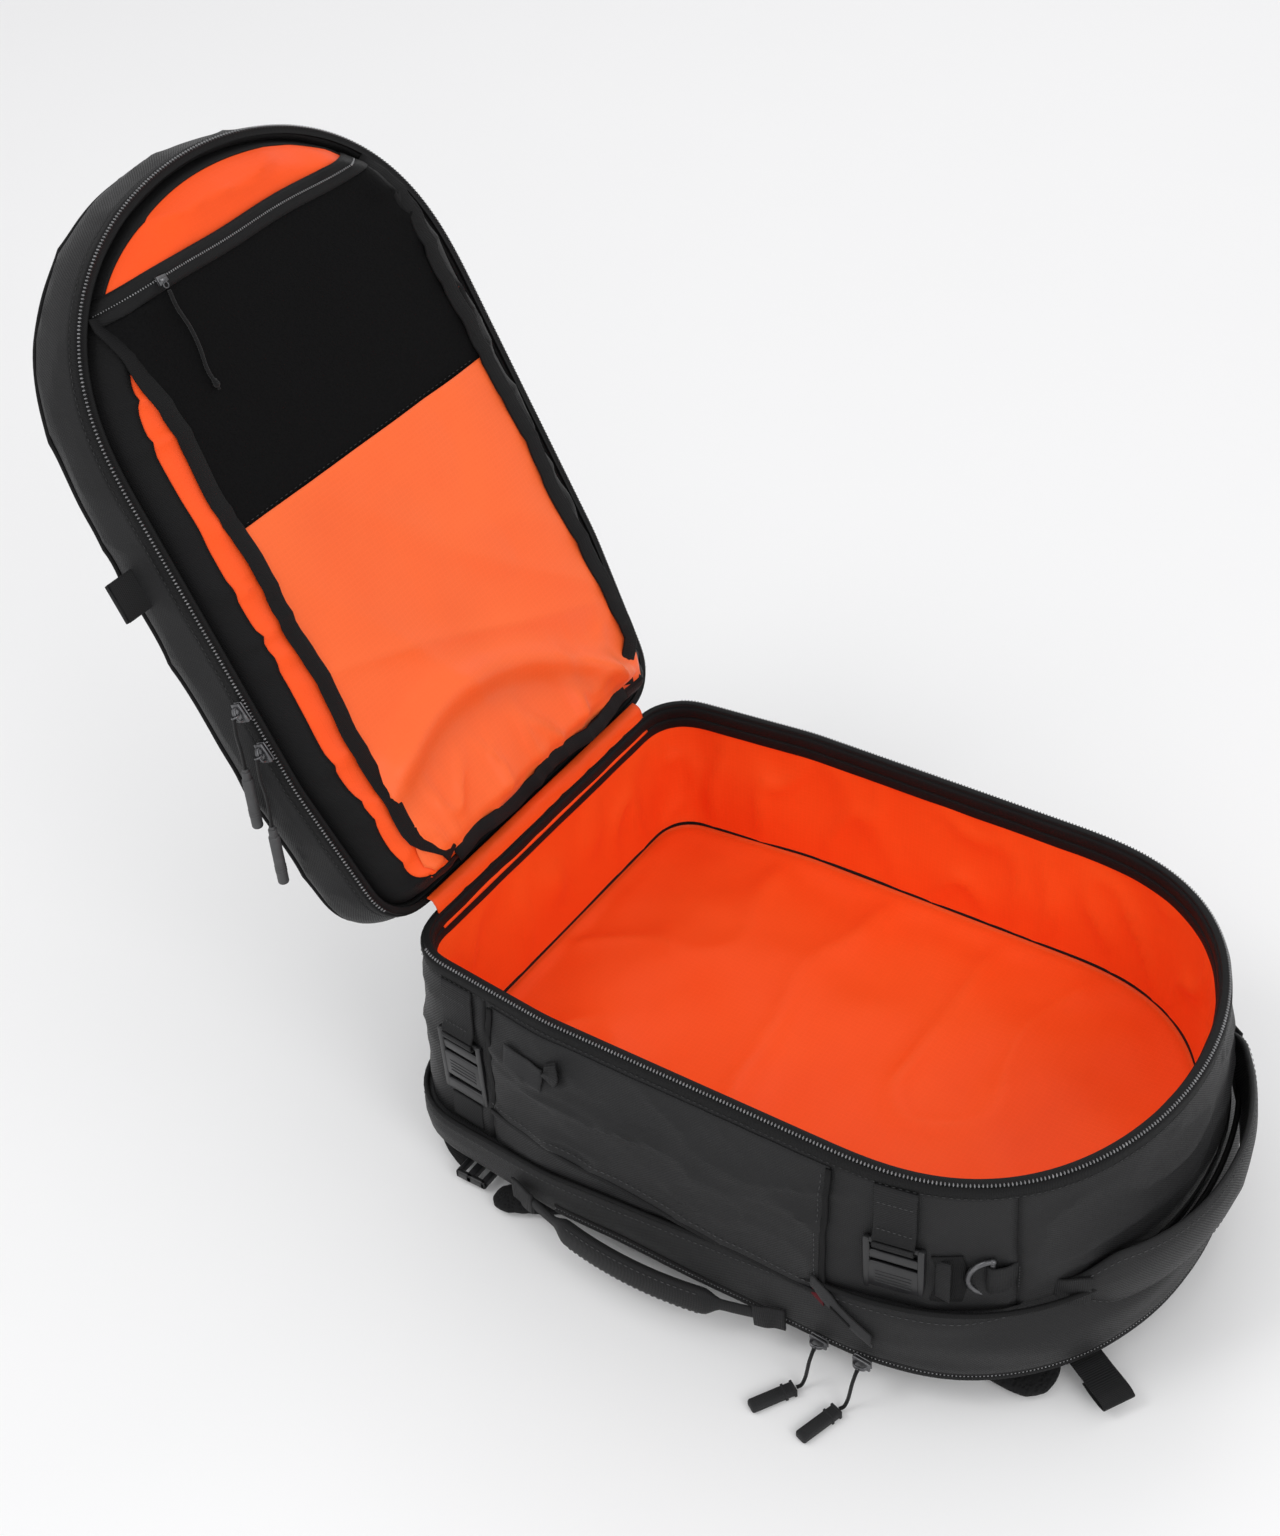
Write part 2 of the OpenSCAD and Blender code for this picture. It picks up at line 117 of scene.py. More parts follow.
def rim_outline(count):
    """Even points round the opening from the hinge end's middle, near side first, each with its way out."""
    half = [Vector((HINGE_END, -y * (HINGE_W / 2 - CORNER_R) / 20)) for y in range(20)]
    for step in range(25):
        turn = math.radians(90 * step / 24)
        half.append(Vector((HINGE_END + CORNER_R * (1 - math.cos(turn)),
                            CORNER_R * (1 - math.sin(turn)) - HINGE_W / 2)))
    straight = TOP_END - DOME_L
    half += [Vector((HINGE_END + CORNER_R + (straight - HINGE_END - CORNER_R) * s / 60,
                     -half_width(HINGE_END + CORNER_R + (straight - HINGE_END - CORNER_R) * s / 60)))
             for s in range(1, 61)]
    for step in range(1, 121):
        turn = math.radians(90 * step / 120)
        half.append(Vector((straight + DOME_L * math.sin(turn),
                            -HALF_W * max(0.0, 1 - math.sin(turn) ** DOME_POWER) ** 0.5)))
    loop = half + [Vector((p.x, -p.y)) for p in reversed(half[1:-1])]
    loop.append(loop[0])
    spans = [0.0]
    for a, b in zip(loop, loop[1:]):
        spans.append(spans[-1] + (b - a).length)
    points, at = [], 0
    for step in range(count):
        want = spans[-1] * step / count
        while spans[at + 1] < want:
            at += 1
        share = (want - spans[at]) / (spans[at + 1] - spans[at])
        points.append(loop[at].lerp(loop[at + 1], share))
    for _ in range(3):
        points = [(points[k - 1] + points[k] * 2 + points[(k + 1) % count]) / 4 for k in range(count)]
    places = []
    for k in range(count):
        ahead = (points[(k + 1) % count] - points[k - 1]).normalized()
        places.append((points[k], Vector((ahead.y, -ahead.x))))
    return places, spans[-1]


RIM, RIM_ROUND = rim_outline(ROUND)
BOTTOM_SPINE = -150 * MM
TOP_SPINE = 95 * MM


def rim_point(k, off, z):
    """A point beside place k of the outline, moved out by off, at height z."""
    place, out = RIM[k % ROUND]
    return Vector((place.x + out.x * off, place.y + out.y * off, z))


def outward(k):
    """The level direction that points out of the pack at place k of the outline."""
    return Vector((*RIM[k % ROUND][1], 0))


def spine_point(k, share, off, z):
    """A point on the way from place k of the outline to the line down the middle."""
    edge = rim_point(k, off, z)
    middle = Vector((min(TOP_SPINE, max(BOTTOM_SPINE, edge.x)), 0, z))
    return edge.lerp(middle, share)


def wave(point, size, amount, seed=0.0):
    """Soft folds: an amount that rises and falls over about size metres."""
    spot = Vector(point) / size + Vector((seed, seed * 0.7, -seed))
    return amount * noise.noise(spot)


def creases(point, size, amount, seed=0.0):
    """Sharp folds with soft valleys between them."""
    spot = Vector(point) / size + Vector((seed, -seed, seed * 0.4))
    return amount * (1 - 2 * abs(noise.noise(spot))) ** 3


def ease(low, high, value):
    """0 below low, 1 above high, and a smooth step between."""
    share = min(1.0, max(0.0, (value - low) / (high - low)))
    return share * share * (3 - 2 * share)


def curve_through(points, value):
    """The value at a place along a few (place, value) stops, smoothly."""
    for (a, x), (b, y) in zip(points, points[1:]):
        if value <= b:
            return x + (y - x) * ease(a, b, value)
    return points[-1][1]


# ---- materials ----


class Value:
    """A socket of numbers whose arithmetic adds Math nodes."""

    def __init__(self, finish, socket):
        self.finish, self.socket = finish, socket

    def math(self, operation, *others):
        inputs = dict(enumerate((self,) + others))
        return self.finish.node("ShaderNodeMath", {"operation": operation}, inputs)

    def flipped(self, operation, other):
        return self.finish.node("ShaderNodeMath", {"operation": operation}, {0: other, 1: self})

    def __add__(self, other):
        return self.math("ADD", other)

    def __sub__(self, other):
        return self.math("SUBTRACT", other)

    def __rsub__(self, other):
        return self.flipped("SUBTRACT", other)

    def __mul__(self, other):
        return self.math("MULTIPLY", other)

    def __truediv__(self, other):
        return self.math("DIVIDE", other)

    def __pow__(self, other):
        return self.math("POWER", other)

    def __neg__(self):
        return self * -1

    __radd__, __rmul__ = __add__, __mul__


class Finish:
    """One procedural material under construction."""

    def __init__(self, name):
        self.material = bpy.data.materials.new(name)
        self.material.use_nodes = True
        self.tree = self.material.node_tree
        self.shader = self.tree.nodes["Principled BSDF"]

    def node(self, kind, settings=None, inputs=None, output=0):
        """Adds a node of that kind with its settings, joins its inputs, and gives back one output."""
        made = self.tree.nodes.new(kind)
        for key, value in (settings or {}).items():
            if key == "stops":
                while len(made.color_ramp.elements) < len(value):
                    made.color_ramp.elements.new(1.0)
                for stop, (place, colour) in zip(made.color_ramp.elements, value):
                    stop.position, stop.color = place, (*colour, 1.0)
            else:
                setattr(made, key, value)
        for key, value in (inputs or {}).items():
            if isinstance(value, Value):
                self.tree.links.new(value.socket, made.inputs[key])
            else:
                made.inputs[key].default_value = value
        return Value(self, made.outputs[output])

    def steady(self, **sockets):
        """Sets numbers and colours that are the same all over."""
        for key, value in sockets.items():
            self.shader.inputs[key.replace("_", " ")].default_value = value

    def feed(self, socket, value):
        self.tree.links.new(value.socket, self.shader.inputs[socket])

    def mix(self, share, first, second):
        """Mixes two colours."""
        return self.node("ShaderNodeMix", {"data_type": "RGBA"}, {0: share, 6: first, 7: second}, 2)

    def noise(self, vector, scale, detail=3.0, roughness=0.55):
        return self.node("ShaderNodeTexNoise", {}, {"Vector": vector, "Scale": scale, "Detail": detail,
                                                    "Roughness": roughness})

    def parts(self, vector):
        split = self.node("ShaderNodeSeparateXYZ", {}, {0: vector})
        return [Value(self, split.socket.node.outputs[k]) for k in range(3)]

    def relief(self, height, distance, strength=1.0):
        """Raises the surface by height times distance."""
        bump = self.node("ShaderNodeBump", {}, {"Height": height, "Distance": distance, "Strength": strength})
        self.feed("Normal", bump)


FINISHES = {}


def rgb(colour):
    return (*colour, 1.0)


def woven(name, slot, colour, thread, style="plain", relief=0.16, rough=0.6, sheen=0.1, sheen_tint=None,
          drift=0.25, level=0.14, tone=None, gap_shade=0.45, object_space=False):
    """A woven cloth whose threads are that many metres apart."""
    finish = Finish(name)
    place = finish.node("ShaderNodeTexCoord", {}, {}, 3 if object_space else 2)
    body = finish.node("ShaderNodeTexCoord", {}, {}, 3)
    u, v, w = finish.parts(place)
    if object_space:
        u, v = u + w * 0.37, v + w * 0.93
    beat = 2 * math.pi / thread
    across = (u * (beat / 2)).math("SINE").math("ABSOLUTE")
    along = (v * (beat / 2)).math("SINE").math("ABSOLUTE")
    if style == "plain":
        over = ((u * (beat / 2)).math("SINE") * (v * (beat / 2)).math("SINE")).math("SIGN") * 0.5 + 0.5
        height = over * across + (1 - over) * along
    elif style == "ribs":
        height = (u * beat).math("SINE") * 0.5 + 0.5 + along * 0.25
    elif style == "twill":
        height = ((u + v) * beat).math("SINE") * 0.4 + 0.5 + across * 0.2
    elif style == "ripstop":
        grid = (u * (beat / 10)).math("SINE").math("ABSOLUTE").math("GREATER_THAN", 0.955)
        lines = (v * (beat / 10)).math("SINE").math("ABSOLUTE").math("GREATER_THAN", 0.955)
        height = grid.math("MAXIMUM", lines) * 0.8 + across * along * 0.4
    elif style == "mesh":
        cells = finish.node("ShaderNodeTexVoronoi", {"feature": "F1"}, {"Vector": place, "Scale": 1 / thread})
        height = (cells * 1.6).math("MINIMUM", 1.0)
    soft = finish.noise(body, 9.0, 4.0, 0.6)
    fine = finish.noise(body, 260.0, 2.0, 0.6)
    light, dark = [min(1.0, c * (1 + drift)) for c in colour], [c * (1 - drift) for c in colour]
    tint = finish.mix(soft, rgb(tone or dark), rgb(light))
    shade = finish.node("ShaderNodeAttribute", {"attribute_name": "shade"}, {}, 2)
    wear = finish.node("ShaderNodeAttribute", {"attribute_name": "wear"}, {}, 2)
    # Painted shade: the colour is darkened in the gaps between threads and in the mesh's holes, by gap_shade.
    tint = finish.mix((1 - height) * gap_shade, tint, rgb([c * 0.4 for c in colour]))
    tint = finish.mix(shade * 0.8, tint, rgb([c * 0.18 for c in colour]))
    # Lighter where wear is marked: real edge wear on most pieces, and a painted highlight on the top handle's
    # upper edge.
    tint = finish.mix(wear * (fine * 0.7 + 0.15), tint, rgb([min(1.0, c * 1.8 + 0.02) for c in colour]))
    finish.feed("Base Color", tint)
    finish.feed("Roughness", (soft * 0.16 + fine * 0.08 + (rough - 0.14)))
    finish.steady(Sheen_Weight=sheen, Sheen_Roughness=0.45, Specular_IOR_Level=level,
                  Sheen_Tint=rgb(sheen_tint or (1, 1, 1)))
    finish.relief(height + fine * 0.35, relief * MM)
    FINISHES[slot] = finish.material
    return finish.material


def moulded(name, slot, colour, rough=0.4, grain=900.0, relief=0.02, metal=0.0, wear=None, coat=0.0):
    """Moulded plastic, rubber or metal with a fine grain, rubbed lighter in scattered patches."""
    finish = Finish(name)
    body = finish.node("ShaderNodeTexCoord", {}, {}, 3)
    grit = finish.noise(body, grain, 3.0, 0.6)
    scuff = finish.noise(body, 70.0, 5.0, 0.7)
    rub_and_glint = (scuff * 3.4 - 1.75).math("MAXIMUM", 0.0).math("MINIMUM", 1.0)
    tint = finish.mix(grit * 0.35, rgb(colour), rgb([c * 0.55 for c in colour]))
    tint = finish.mix(rub_and_glint * 0.5, tint, rgb(wear or [min(1.0, c * 1.9 + 0.015) for c in colour]))
    finish.feed("Base Color", tint)
    finish.feed("Roughness", (scuff * 0.22 + grit * 0.1 + (rough - 0.16)))
    finish.steady(Metallic=metal, Coat_Weight=coat, Specular_IOR_Level=0.5)
    finish.relief(grit, relief * MM)
    FINISHES[slot] = finish.material
    return finish.material


def make_finishes(look):
    """Every finish of the pack, by material slot."""
    black = list(look.shell_colour)
    orange = list(look.lining_colour)
    woven("ballistic_shell_cloth", "ballistic_nylon", black, 1.1 * MM, "plain", 0.16, 0.5,
          0.02, drift=0.25, level=0.2)
    woven("spacer_mesh_cloth", "padded_mesh", [c * 0.75 for c in black], 2.6 * MM, "mesh", 0.7, 0.85, 0.05)
    woven("strap_webbing", "webbing", [c * 1.05 for c in black], 1.3 * MM, "ribs", 0.25,
          0.55, 0.02, drift=0.15)
    woven("grosgrain_binding", "binding_tape", [c * 0.5 for c in black], 1.0 * MM, "ribs", 0.22, 0.62, 0.01)
    woven("zip_tape_cloth", "zip_tape", [c * 0.55 for c in black], 1.2 * MM, "twill", 0.16, 0.6, 0.01)
    deep = [orange[0] * 0.97, orange[1] * 0.72, orange[2] * 0.6]
    woven("orange_lining_cloth", "orange_lining", orange, 0.7 * MM, "ripstop", 0.05, 0.55, 0.03,
          sheen_tint=(1.0, 0.55, 0.3), drift=0.04, level=0.2, tone=deep, gap_shade=0.04)
    # Painted light: the lower pocket gets a lighter copy of the lining orange, standing for the light that
    # falls on it.
    lit_orange = [orange[0], orange[1] * 1.5, orange[2] * 2.6]
    woven("lit_orange_pocket_cloth", "orange_pocket", lit_orange, 0.7 * MM, "ripstop", 0.05, 0.5, 0.1,
          sheen_tint=(1.0, 0.6, 0.35), drift=0.05, level=0.3, tone=[lit_orange[0], lit_orange[1] * 0.8, lit_orange[2] * 0.7],
          gap_shade=0.05)
    # The mesh pocket is far darker than the shell: its own black, plus painted shade standing for what shows
    # through its holes.
    woven("pocket_mesh_cloth", "black_mesh", [c * 0.33 for c in black], 1.5 * MM, "mesh",
          0.22, 0.85, 0.0, drift=0.2, level=0.06)
    woven("grey_tab_cloth", "grey_fabric", [c * 1.7 for c in black], 1.0 * MM, "plain", 0.14, 0.6, 0.03)
    woven("twisted_cord", "pull_cord", [c * 0.6 for c in black], 1.4 * MM, "twill", 0.25,
          0.6, 0.1, object_space=True)
    moulded("matt_black_acetal", "black_acetal", (0.012, 0.012, 0.013), 0.36, 900.0, 0.02)
    moulded("gunmetal", "dark_metal", (0.11, 0.11, 0.115), 0.3, 1400.0, 0.008, 0.8, (0.45, 0.45, 0.46))
    moulded("soft_grey_rubber", "pull_rubber", (0.05, 0.05, 0.052), 0.6, 1500.0, 0.04)
    moulded("frame_sheet_plastic", "frame_plastic", (0.02, 0.02, 0.02), 0.5, 700.0, 0.03)
    # The zip coil's rubbed colour is light: its lighter patches along the teeth are wear and painted glints.
    moulded("zip_coil", "zip_coil", (0.16, 0.16, 0.165), 0.22, 1500.0, 0.01, 0.3, (0.5, 0.5, 0.51), 0.4)
    moulded("stitch_thread", "thread", [c * 3.2 for c in black], 0.6, 2200.0, 0.05)
    moulded("black_stitch_thread", "binding_thread", [c * 1.6 for c in black], 0.55, 2200.0, 0.05)
    woven("wine_facing_cloth", "wine", (0.1, 0.003, 0.008), 1.0 * MM, "plain", 0.1, 0.6, 0.02)


# ---- mesh helpers ----


def lattice(across, up, place, size=(1.0, 1.0), wrap=False, turned=False):
    """A bmesh grid of across by up faces, whose corner (i, j) goes to place(i, j). Its map is in metres."""
    bm = bmesh.new()
    bmesh.ops.create_grid(bm, x_segments=across, y_segments=up, size=1, calc_uvs=True)
    chart = bm.loops.layers.uv.verify()
    for face in bm.faces:
        for loop in face.loops:
            loop[chart].uv = ((loop.vert.co.x + 1) / 2 * size[0], (loop.vert.co.y + 1) / 2 * size[1])
    spots = [(v, round((v.co.x + 1) / 2 * across), round((v.co.y + 1) / 2 * up)) for v in bm.verts]
    for v, i, j in spots:
        v.co = place(i, j)
    if wrap:
        bmesh.ops.remove_doubles(bm, verts=bm.verts, dist=0.02 * MM)
        bmesh.ops.dissolve_degenerate(bm, dist=0.01 * MM, edges=bm.edges)
    if turned:
        bmesh.ops.reverse_faces(bm, faces=bm.faces)
    return bm


def block_map(bm):
    """Lays a map in metres over every face from the side that it faces most."""
    chart = bm.loops.layers.uv.verify()
    bm.normal_update()
    for face in bm.faces:
        n = [abs(c) for c in face.normal]
        drop = n.index(max(n))
        for loop in face.loops:
            co = loop.vert.co
            loop[chart].uv = [(co.y, co.z), (co.x, co.z), (co.x, co.y)][drop]


def face_out(bm):
    """Turns every face outward."""
    bmesh.ops.recalc_face_normals(bm, faces=bm.faces)


def close_ends(bm):
    """Fills every open edge loop."""
    bmesh.ops.holes_fill(bm, edges=[e for e in bm.edges if e.is_boundary], sides=0)


def block(bm, low, high, matrix=None, bevel=0.0, segments=2):
    """A box from corner to corner, with rounded edges, added to the bmesh."""
    low, high = Vector(low), Vector(high)
    made = bmesh.ops.create_cube(bm, size=1.0)
    bmesh.ops.scale(bm, vec=high - low, verts=made["verts"])
    bmesh.ops.translate(bm, vec=(low + high) / 2, verts=made["verts"])
    verts = list(made["verts"])
    if bevel:
        edges = list({e for v in verts for e in v.link_edges})
        cut = bmesh.ops.bevel(bm, geom=edges, offset=bevel, offset_type="OFFSET", affect="EDGES",
                              segments=segments, profile=0.5, material=-1, clamp_overlap=True)
        verts = list({v for f in cut["faces"] for v in f.verts} | {v for v in verts if v.is_valid})
    if matrix is not None:
        bmesh.ops.transform(bm, matrix=matrix, verts=verts)
    return verts


def rod(bm, a, b, radius, sides=16, bevel=0.0):
    """A round bar from a to b."""
    a, b = Vector(a), Vector(b)
    turn = (b - a).to_track_quat("Z", "Y").to_matrix().to_4x4()
    made = bmesh.ops.create_cone(bm, cap_ends=True, cap_tris=False, segments=sides, radius1=radius,
                                 radius2=radius, depth=(b - a).length,
                                 matrix=Matrix.Translation((a + b) / 2) @ turn)
    verts = list(made["verts"])
    if bevel:
        caps = {e for v in verts for f in v.link_faces if len(f.verts) == sides for e in f.edges}
        cut = bmesh.ops.bevel(bm, geom=list(caps), offset=bevel, offset_type="OFFSET", affect="EDGES",
                              segments=2, profile=0.5, material=-1, clamp_overlap=True)
        verts = list({v for f in cut["faces"] for v in f.verts} | {v for v in verts if v.is_valid})
    return verts


def frames_along(points, up):
    """For each point of a path: the point, the way ahead, the way out and the side."""
    made, n = [], len(points)
    for k, point in enumerate(points):
        ahead = (points[min(k + 1, n - 1)] - points[max(k - 1, 0)]).normalized()
        lift = up(k) if callable(up) else Vector(up)
        side = ahead.cross(lift).normalized()
        made.append((point, ahead, side.cross(ahead).normalized(), side))
    return made


def ribbon(points, up, width, thick, bow=0.0, ends=True):
    """Webbing along a path: width across, thick deep, its corners softened."""
    frames = frames_along([Vector(p) for p in points], up)
    total = sum((frames[k + 1][0] - frames[k][0]).length for k in range(len(frames) - 1))
    w, t = width / 2, thick / 2
    s = min(t * 0.8, w * 0.2)
    shape = [(-w, 0), (-w + s * 0.3, t * 0.75), (-w + s, t), (0, t + bow), (w - s, t),
             (w - s * 0.3, t * 0.75),
             (w, 0), (w - s * 0.3, -t * 0.75), (w - s, -t), (0, -t + bow), (-w + s, -t),
             (-w + s * 0.3, -t * 0.75)]

    def place(i, j):
        point, _, out, side = frames[i]
        a, b = shape[j % len(shape)]
        return point + side * a + out * b

    bm = lattice(len(frames) - 1, len(shape), place, (total, 2 * width), wrap=True)
    if ends:
        close_ends(bm)
    face_out(bm)
    return bm


def merged(*meshes):
    """One bmesh out of several."""
    whole = bmesh.new()
    for bm in meshes:
        mesh = bpy.data.meshes.new("part")
        bm.to_mesh(mesh)
        bm.free()
        whole.from_mesh(mesh)
        bpy.data.meshes.remove(mesh)
    return whole


def piece(name, bm, body, slots, replaces=(), matrix=None, angle=40, smooth=True):
    """Turns a bmesh into a finished object that rides on a body and wears the slots' finishes."""
    if matrix is not None:
        bmesh.ops.transform(bm, matrix=matrix, verts=bm.verts)
    mesh = bpy.data.meshes.new(name)
    bm.to_mesh(mesh)
    bm.free()
    made = bpy.data.objects.new(name, mesh)
    bpy.context.scene.collection.objects.link(made)
    slots = [slots] if isinstance(slots, str) else slots
    for slot in slots:
        mesh.materials.append(FINISHES[slot])
    mesh.shade_smooth() if smooth else mesh.shade_flat()
    if smooth and angle < 180:
        mesh.set_sharp_from_angle(angle=math.radians(angle))
    if body:
        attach(made, body)
    if replaces:
        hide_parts(*([replaces] if isinstance(replaces, str) else replaces))
    return made


def mark(bm, key, rule):
    """Stores a number from 0 to 1 on every vertex for the finishes to read."""
    layer = bm.verts.layers.float.get(key) or bm.verts.layers.float.new(key)
    for v in bm.verts:
        v[layer] = max(v[layer], rule(v.co))


def tiny_set(spots, shape):
    """Many copies of a tiny rounded shape of that size, one at each (point, ahead, out)."""
    bm = bmesh.new()
    long, wide, high = shape
    for point, ahead, out in spots:
        side = ahead.cross(out).normalized()
        turn = Matrix((ahead.normalized(), side, out)).transposed().to_4x4()
        place = Matrix.Translation(point) @ turn @ Matrix.Diagonal((long, wide, high, 1))
        bmesh.ops.create_icosphere(bm, subdivisions=1, radius=0.5, matrix=place)
    block_map(bm)
    return bm


def stitch_spots(points, out, stitch=3.4 * MM, gap=1.3 * MM, lift=0.0):
    """Where the stitches of a row go along a path."""
    points = [Vector(p) for p in points]
    spots, want, run = [], stitch / 2, 0.0
    for k in range(len(points) - 1):
        a, b = points[k], points[k + 1]
        span = (b - a).length
        if span < 1e-7:
            continue
        facing = out(k) if callable(out) else Vector(out)
        while want <= run + span:
            spots.append((a.lerp(b, (want - run) / span) + facing * lift, (b - a) / span, facing))
            want += stitch + gap
        run += span
    return spots


def mitred_frames(spots):
    return [(p, a, (o - a * o.dot(a)).normalized()) for p, a, o in spots]


def seam(name, body, rows, size=(3.4, 0.7, 0.5), slot="thread", matrix=None):
    """Rows of stitches as one piece."""
    spots = mitred_frames([s for row in rows for s in row])
    bm = tiny_set(spots, [c * MM for c in size])
    return piece(name, bm, body, slot, matrix=matrix, angle=180)


def smooth_path(points, count):
    """A smooth line of count points through a few."""
    points = [Vector(p) for p in points]
    last = len(points) - 1
    line = []
    for k in range(count):
        at = last * k / (count - 1)
        n = min(int(at), last - 1)
        t = at - n
        p0, p1, p2, p3 = points[max(n - 1, 0)], points[n], points[n + 1], points[min(n + 2, last)]
        line.append(0.5 * ((2 * p1) + (p2 - p0) * t + (2 * p0 - 5 * p1 + 4 * p2 - p3) * t * t
                           + (3 * p1 - p0 - 3 * p2 + p3) * t ** 3))
    return line


def plumped(source, name, voxel, swell, cap, pressure=4.0, shrink=1.2 * MM, rounds=20):
    """A padded piece: the mesh is remeshed, blown up as cloth with each point held to cap, and smoothed."""
    work = source
    bpy.context.view_layer.objects.active = work
    remesh = work.modifiers.new("remesh", "REMESH")
    remesh.mode, remesh.voxel_size = "VOXEL", voxel
    flat = settle(work)
    shrunk = bpy.data.objects.new(name + "_rest", flat)
    bpy.context.scene.collection.objects.link(shrunk)
    bm = bmesh.new()
    bm.from_mesh(flat)
    bmesh.ops.smooth_vert(bm, verts=bm.verts, factor=0.5, use_axis_x=True, use_axis_y=True,
                          use_axis_z=True)
    bm.normal_update()
    for v in bm.verts:
        v.co -= v.normal * shrink
    bm.to_mesh(flat)
    start = [v.co.copy() for v in flat.vertices]
    cloth = shrunk.modifiers.new("cloth", "CLOTH")
    cloth.settings.use_pressure = True
    cloth.settings.uniform_pressure_force = pressure
    cloth.settings.effector_weights.gravity = 0.0
    cloth.settings.quality = 4
    cloth.point_cache.frame_start, cloth.point_cache.frame_end = 1, rounds
    scene = bpy.context.scene
    for step in range(1, rounds + 1):
        scene.frame_set(step)
    blown = settle(shrunk)
    scene.frame_set(1)
    bpy.data.objects.remove(shrunk)
    for v, rest in zip(blown.vertices, start):
        move = (v.co - rest) * swell
        v.co = rest + move * min(1.0, cap / max(move.length, 1e-9))
    work.modifiers.clear()
    work.data = blown
    return work


def settle(obj):
    """The object's mesh with its modifiers applied."""
    graph = bpy.context.evaluated_depsgraph_get()
    graph.update()
    return bpy.data.meshes.new_from_object(obj.evaluated_get(graph))


def home(node):
    """The body that a CAD node belongs to."""
    return frame["nodes"][node]["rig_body"]


def thicken(made, thickness, offset=-1):
    """Gives a sheet of cloth its thickness: inward at -1, to both sides at 0."""
    skin = made.modifiers.new("cloth", "SOLIDIFY")
    skin.thickness, skin.offset = thickness, offset


# ---- the pack's own surfaces ----

STRAP_X = [-205 * MM, 134 * MM]
RING_X = 188 * MM
SEAM_LOW, SEAM_HIGH = -178 * MM, 201 * MM


def layer_top(x):
    """Height of the laptop compartment's upper seam, which climbs towards the top end."""
    return (57 + 40 * ease(-250 * MM, 262 * MM, x)) * MM


def pinch(x):
    """How far the straps and the ring hold the wall in at x, from 0 to 1."""
    return max(math.exp(-((x - place) / (33 * MM)) ** 2) for place in STRAP_X + [RING_X - 9 * MM])


def wall_out(x, y, z):
    """How far the filled wall stands outside the opening's outline."""
    low = layer_top(x)
    up = min(1.0, max(0.0, (z - low) / (WALL_TOP - low)))
    amount = 12 - 3 * ease(-150 * MM, -250 * MM, x) - 5 * ease(175 * MM, 225 * MM, x)
    held = pinch(x) * (1 - ease(195 * MM, 215 * MM, x)) * (1 - 0.6 * ease(0.35, 0.0, up))
    swell = amount * (1 - up ** 2.0) * (1 - 0.86 * held)
    folds = creases((x * 0.7, y * 0.7, z * 2.2), 62 * MM, 3.6, 3.1) + wave((x, y, z * 1.6), 30 * MM, 1.3, 8.0)
    pull = creases((x * 1.3 + z, y * 1.3, z * 1.2), 34 * MM, 1.6, 5.0) * ease(0.55, 0.9, up)
    return (swell + (folds + pull) * math.sin(math.pi * up) ** 0.6 * (1 - 0.7 * held)) * MM


def layer_out(x, y, z):
    """How far the laptop compartment stands out, rounded at the bottom."""
    top = layer_top(x)
    up = (z - PAD_T) / (top - PAD_T)
    crown = curve_through([(0.0, -12), (0.05, 4), (0.16, 12.5), (0.34, 15.8), (0.6, 16.8),
                           (0.85, 16.4), (1.0, 14)], up)
    far = 1.5 * ease(120 * MM, 250 * MM, x)
    crown -= 8.5 * ease(64 * MM, 92 * MM, z) * ease(165 * MM, 215 * MM, x)
    return (crown + far * ease(0.1, 0.5, up) + wave((x, y, z * 2.5), 46 * MM, 1.1,
                                                    2.0) * math.sin(math.pi * min(1, max(0, up)))) * MM


def wall_spot(x, z, lift=0.0, side=-1, out_of=wall_out):
    """A point on the side wall and its outward direction."""
    step = 4 * MM
    slope = (half_width(min(x + step, TOP_END - MM)) - half_width(x - step)) / (2 * step)
    out = Vector((-slope, side, 0)).normalized()
    base = Vector((x, side * half_width(x), z))
    return base + out * (out_of(x, side * half_width(x), z) + lift), out


def ring_rows(rows, first=0, last=ROUND, uv_height=0.12):
    """A surface round the outline: each row is a function of the place k that gives (offset, height)."""
    wrap = last - first == ROUND

    def place(i, j):
        off, z = rows[j](first + i)
        return rim_point(first + i, off, z)

    length = RIM_ROUND * (last - first) / ROUND
    return lattice(last - first, len(rows) - 1, place, (length, uv_height), wrap=wrap)


def near_index(x):
    """The place on the near side of the outline closest to x."""
    return min(range(ROUND // 2), key=lambda k: abs(RIM[k][0].x - x))


class BackpackLook(bpy.types.PropertyGroup):
    """Colours and fullness of the pack."""
    shell_colour: FloatVectorProperty(name="Shell colour", description="Colour of the outer cloth",
                                      subtype="COLOR", size=3, default=(0.0145, 0.0145, 0.0151), min=0, max=1)
    lining_colour: FloatVectorProperty(name="Lining colour", description="Colour of the lining cloth",
                                       subtype="COLOR", size=3, default=(0.92, 0.1, 0.012), min=0, max=1)
    tooth_pitch: FloatProperty(name="Tooth pitch", description="Distance from one zip tooth to the next",
                               subtype="DISTANCE", unit="LENGTH", default=2.5 * MM, min=1.5 * MM, max=4 * MM)
    lining_folds: FloatProperty(name="Lining folds", description="Height of the folds in the lid's lining",
                                subtype="DISTANCE", unit="LENGTH", default=5 * MM, min=0, max=9 * MM)
    cord_sides: IntProperty(name="Cord sides", description="Roundness of the pull cords",
                            default=4, min=2, max=8)


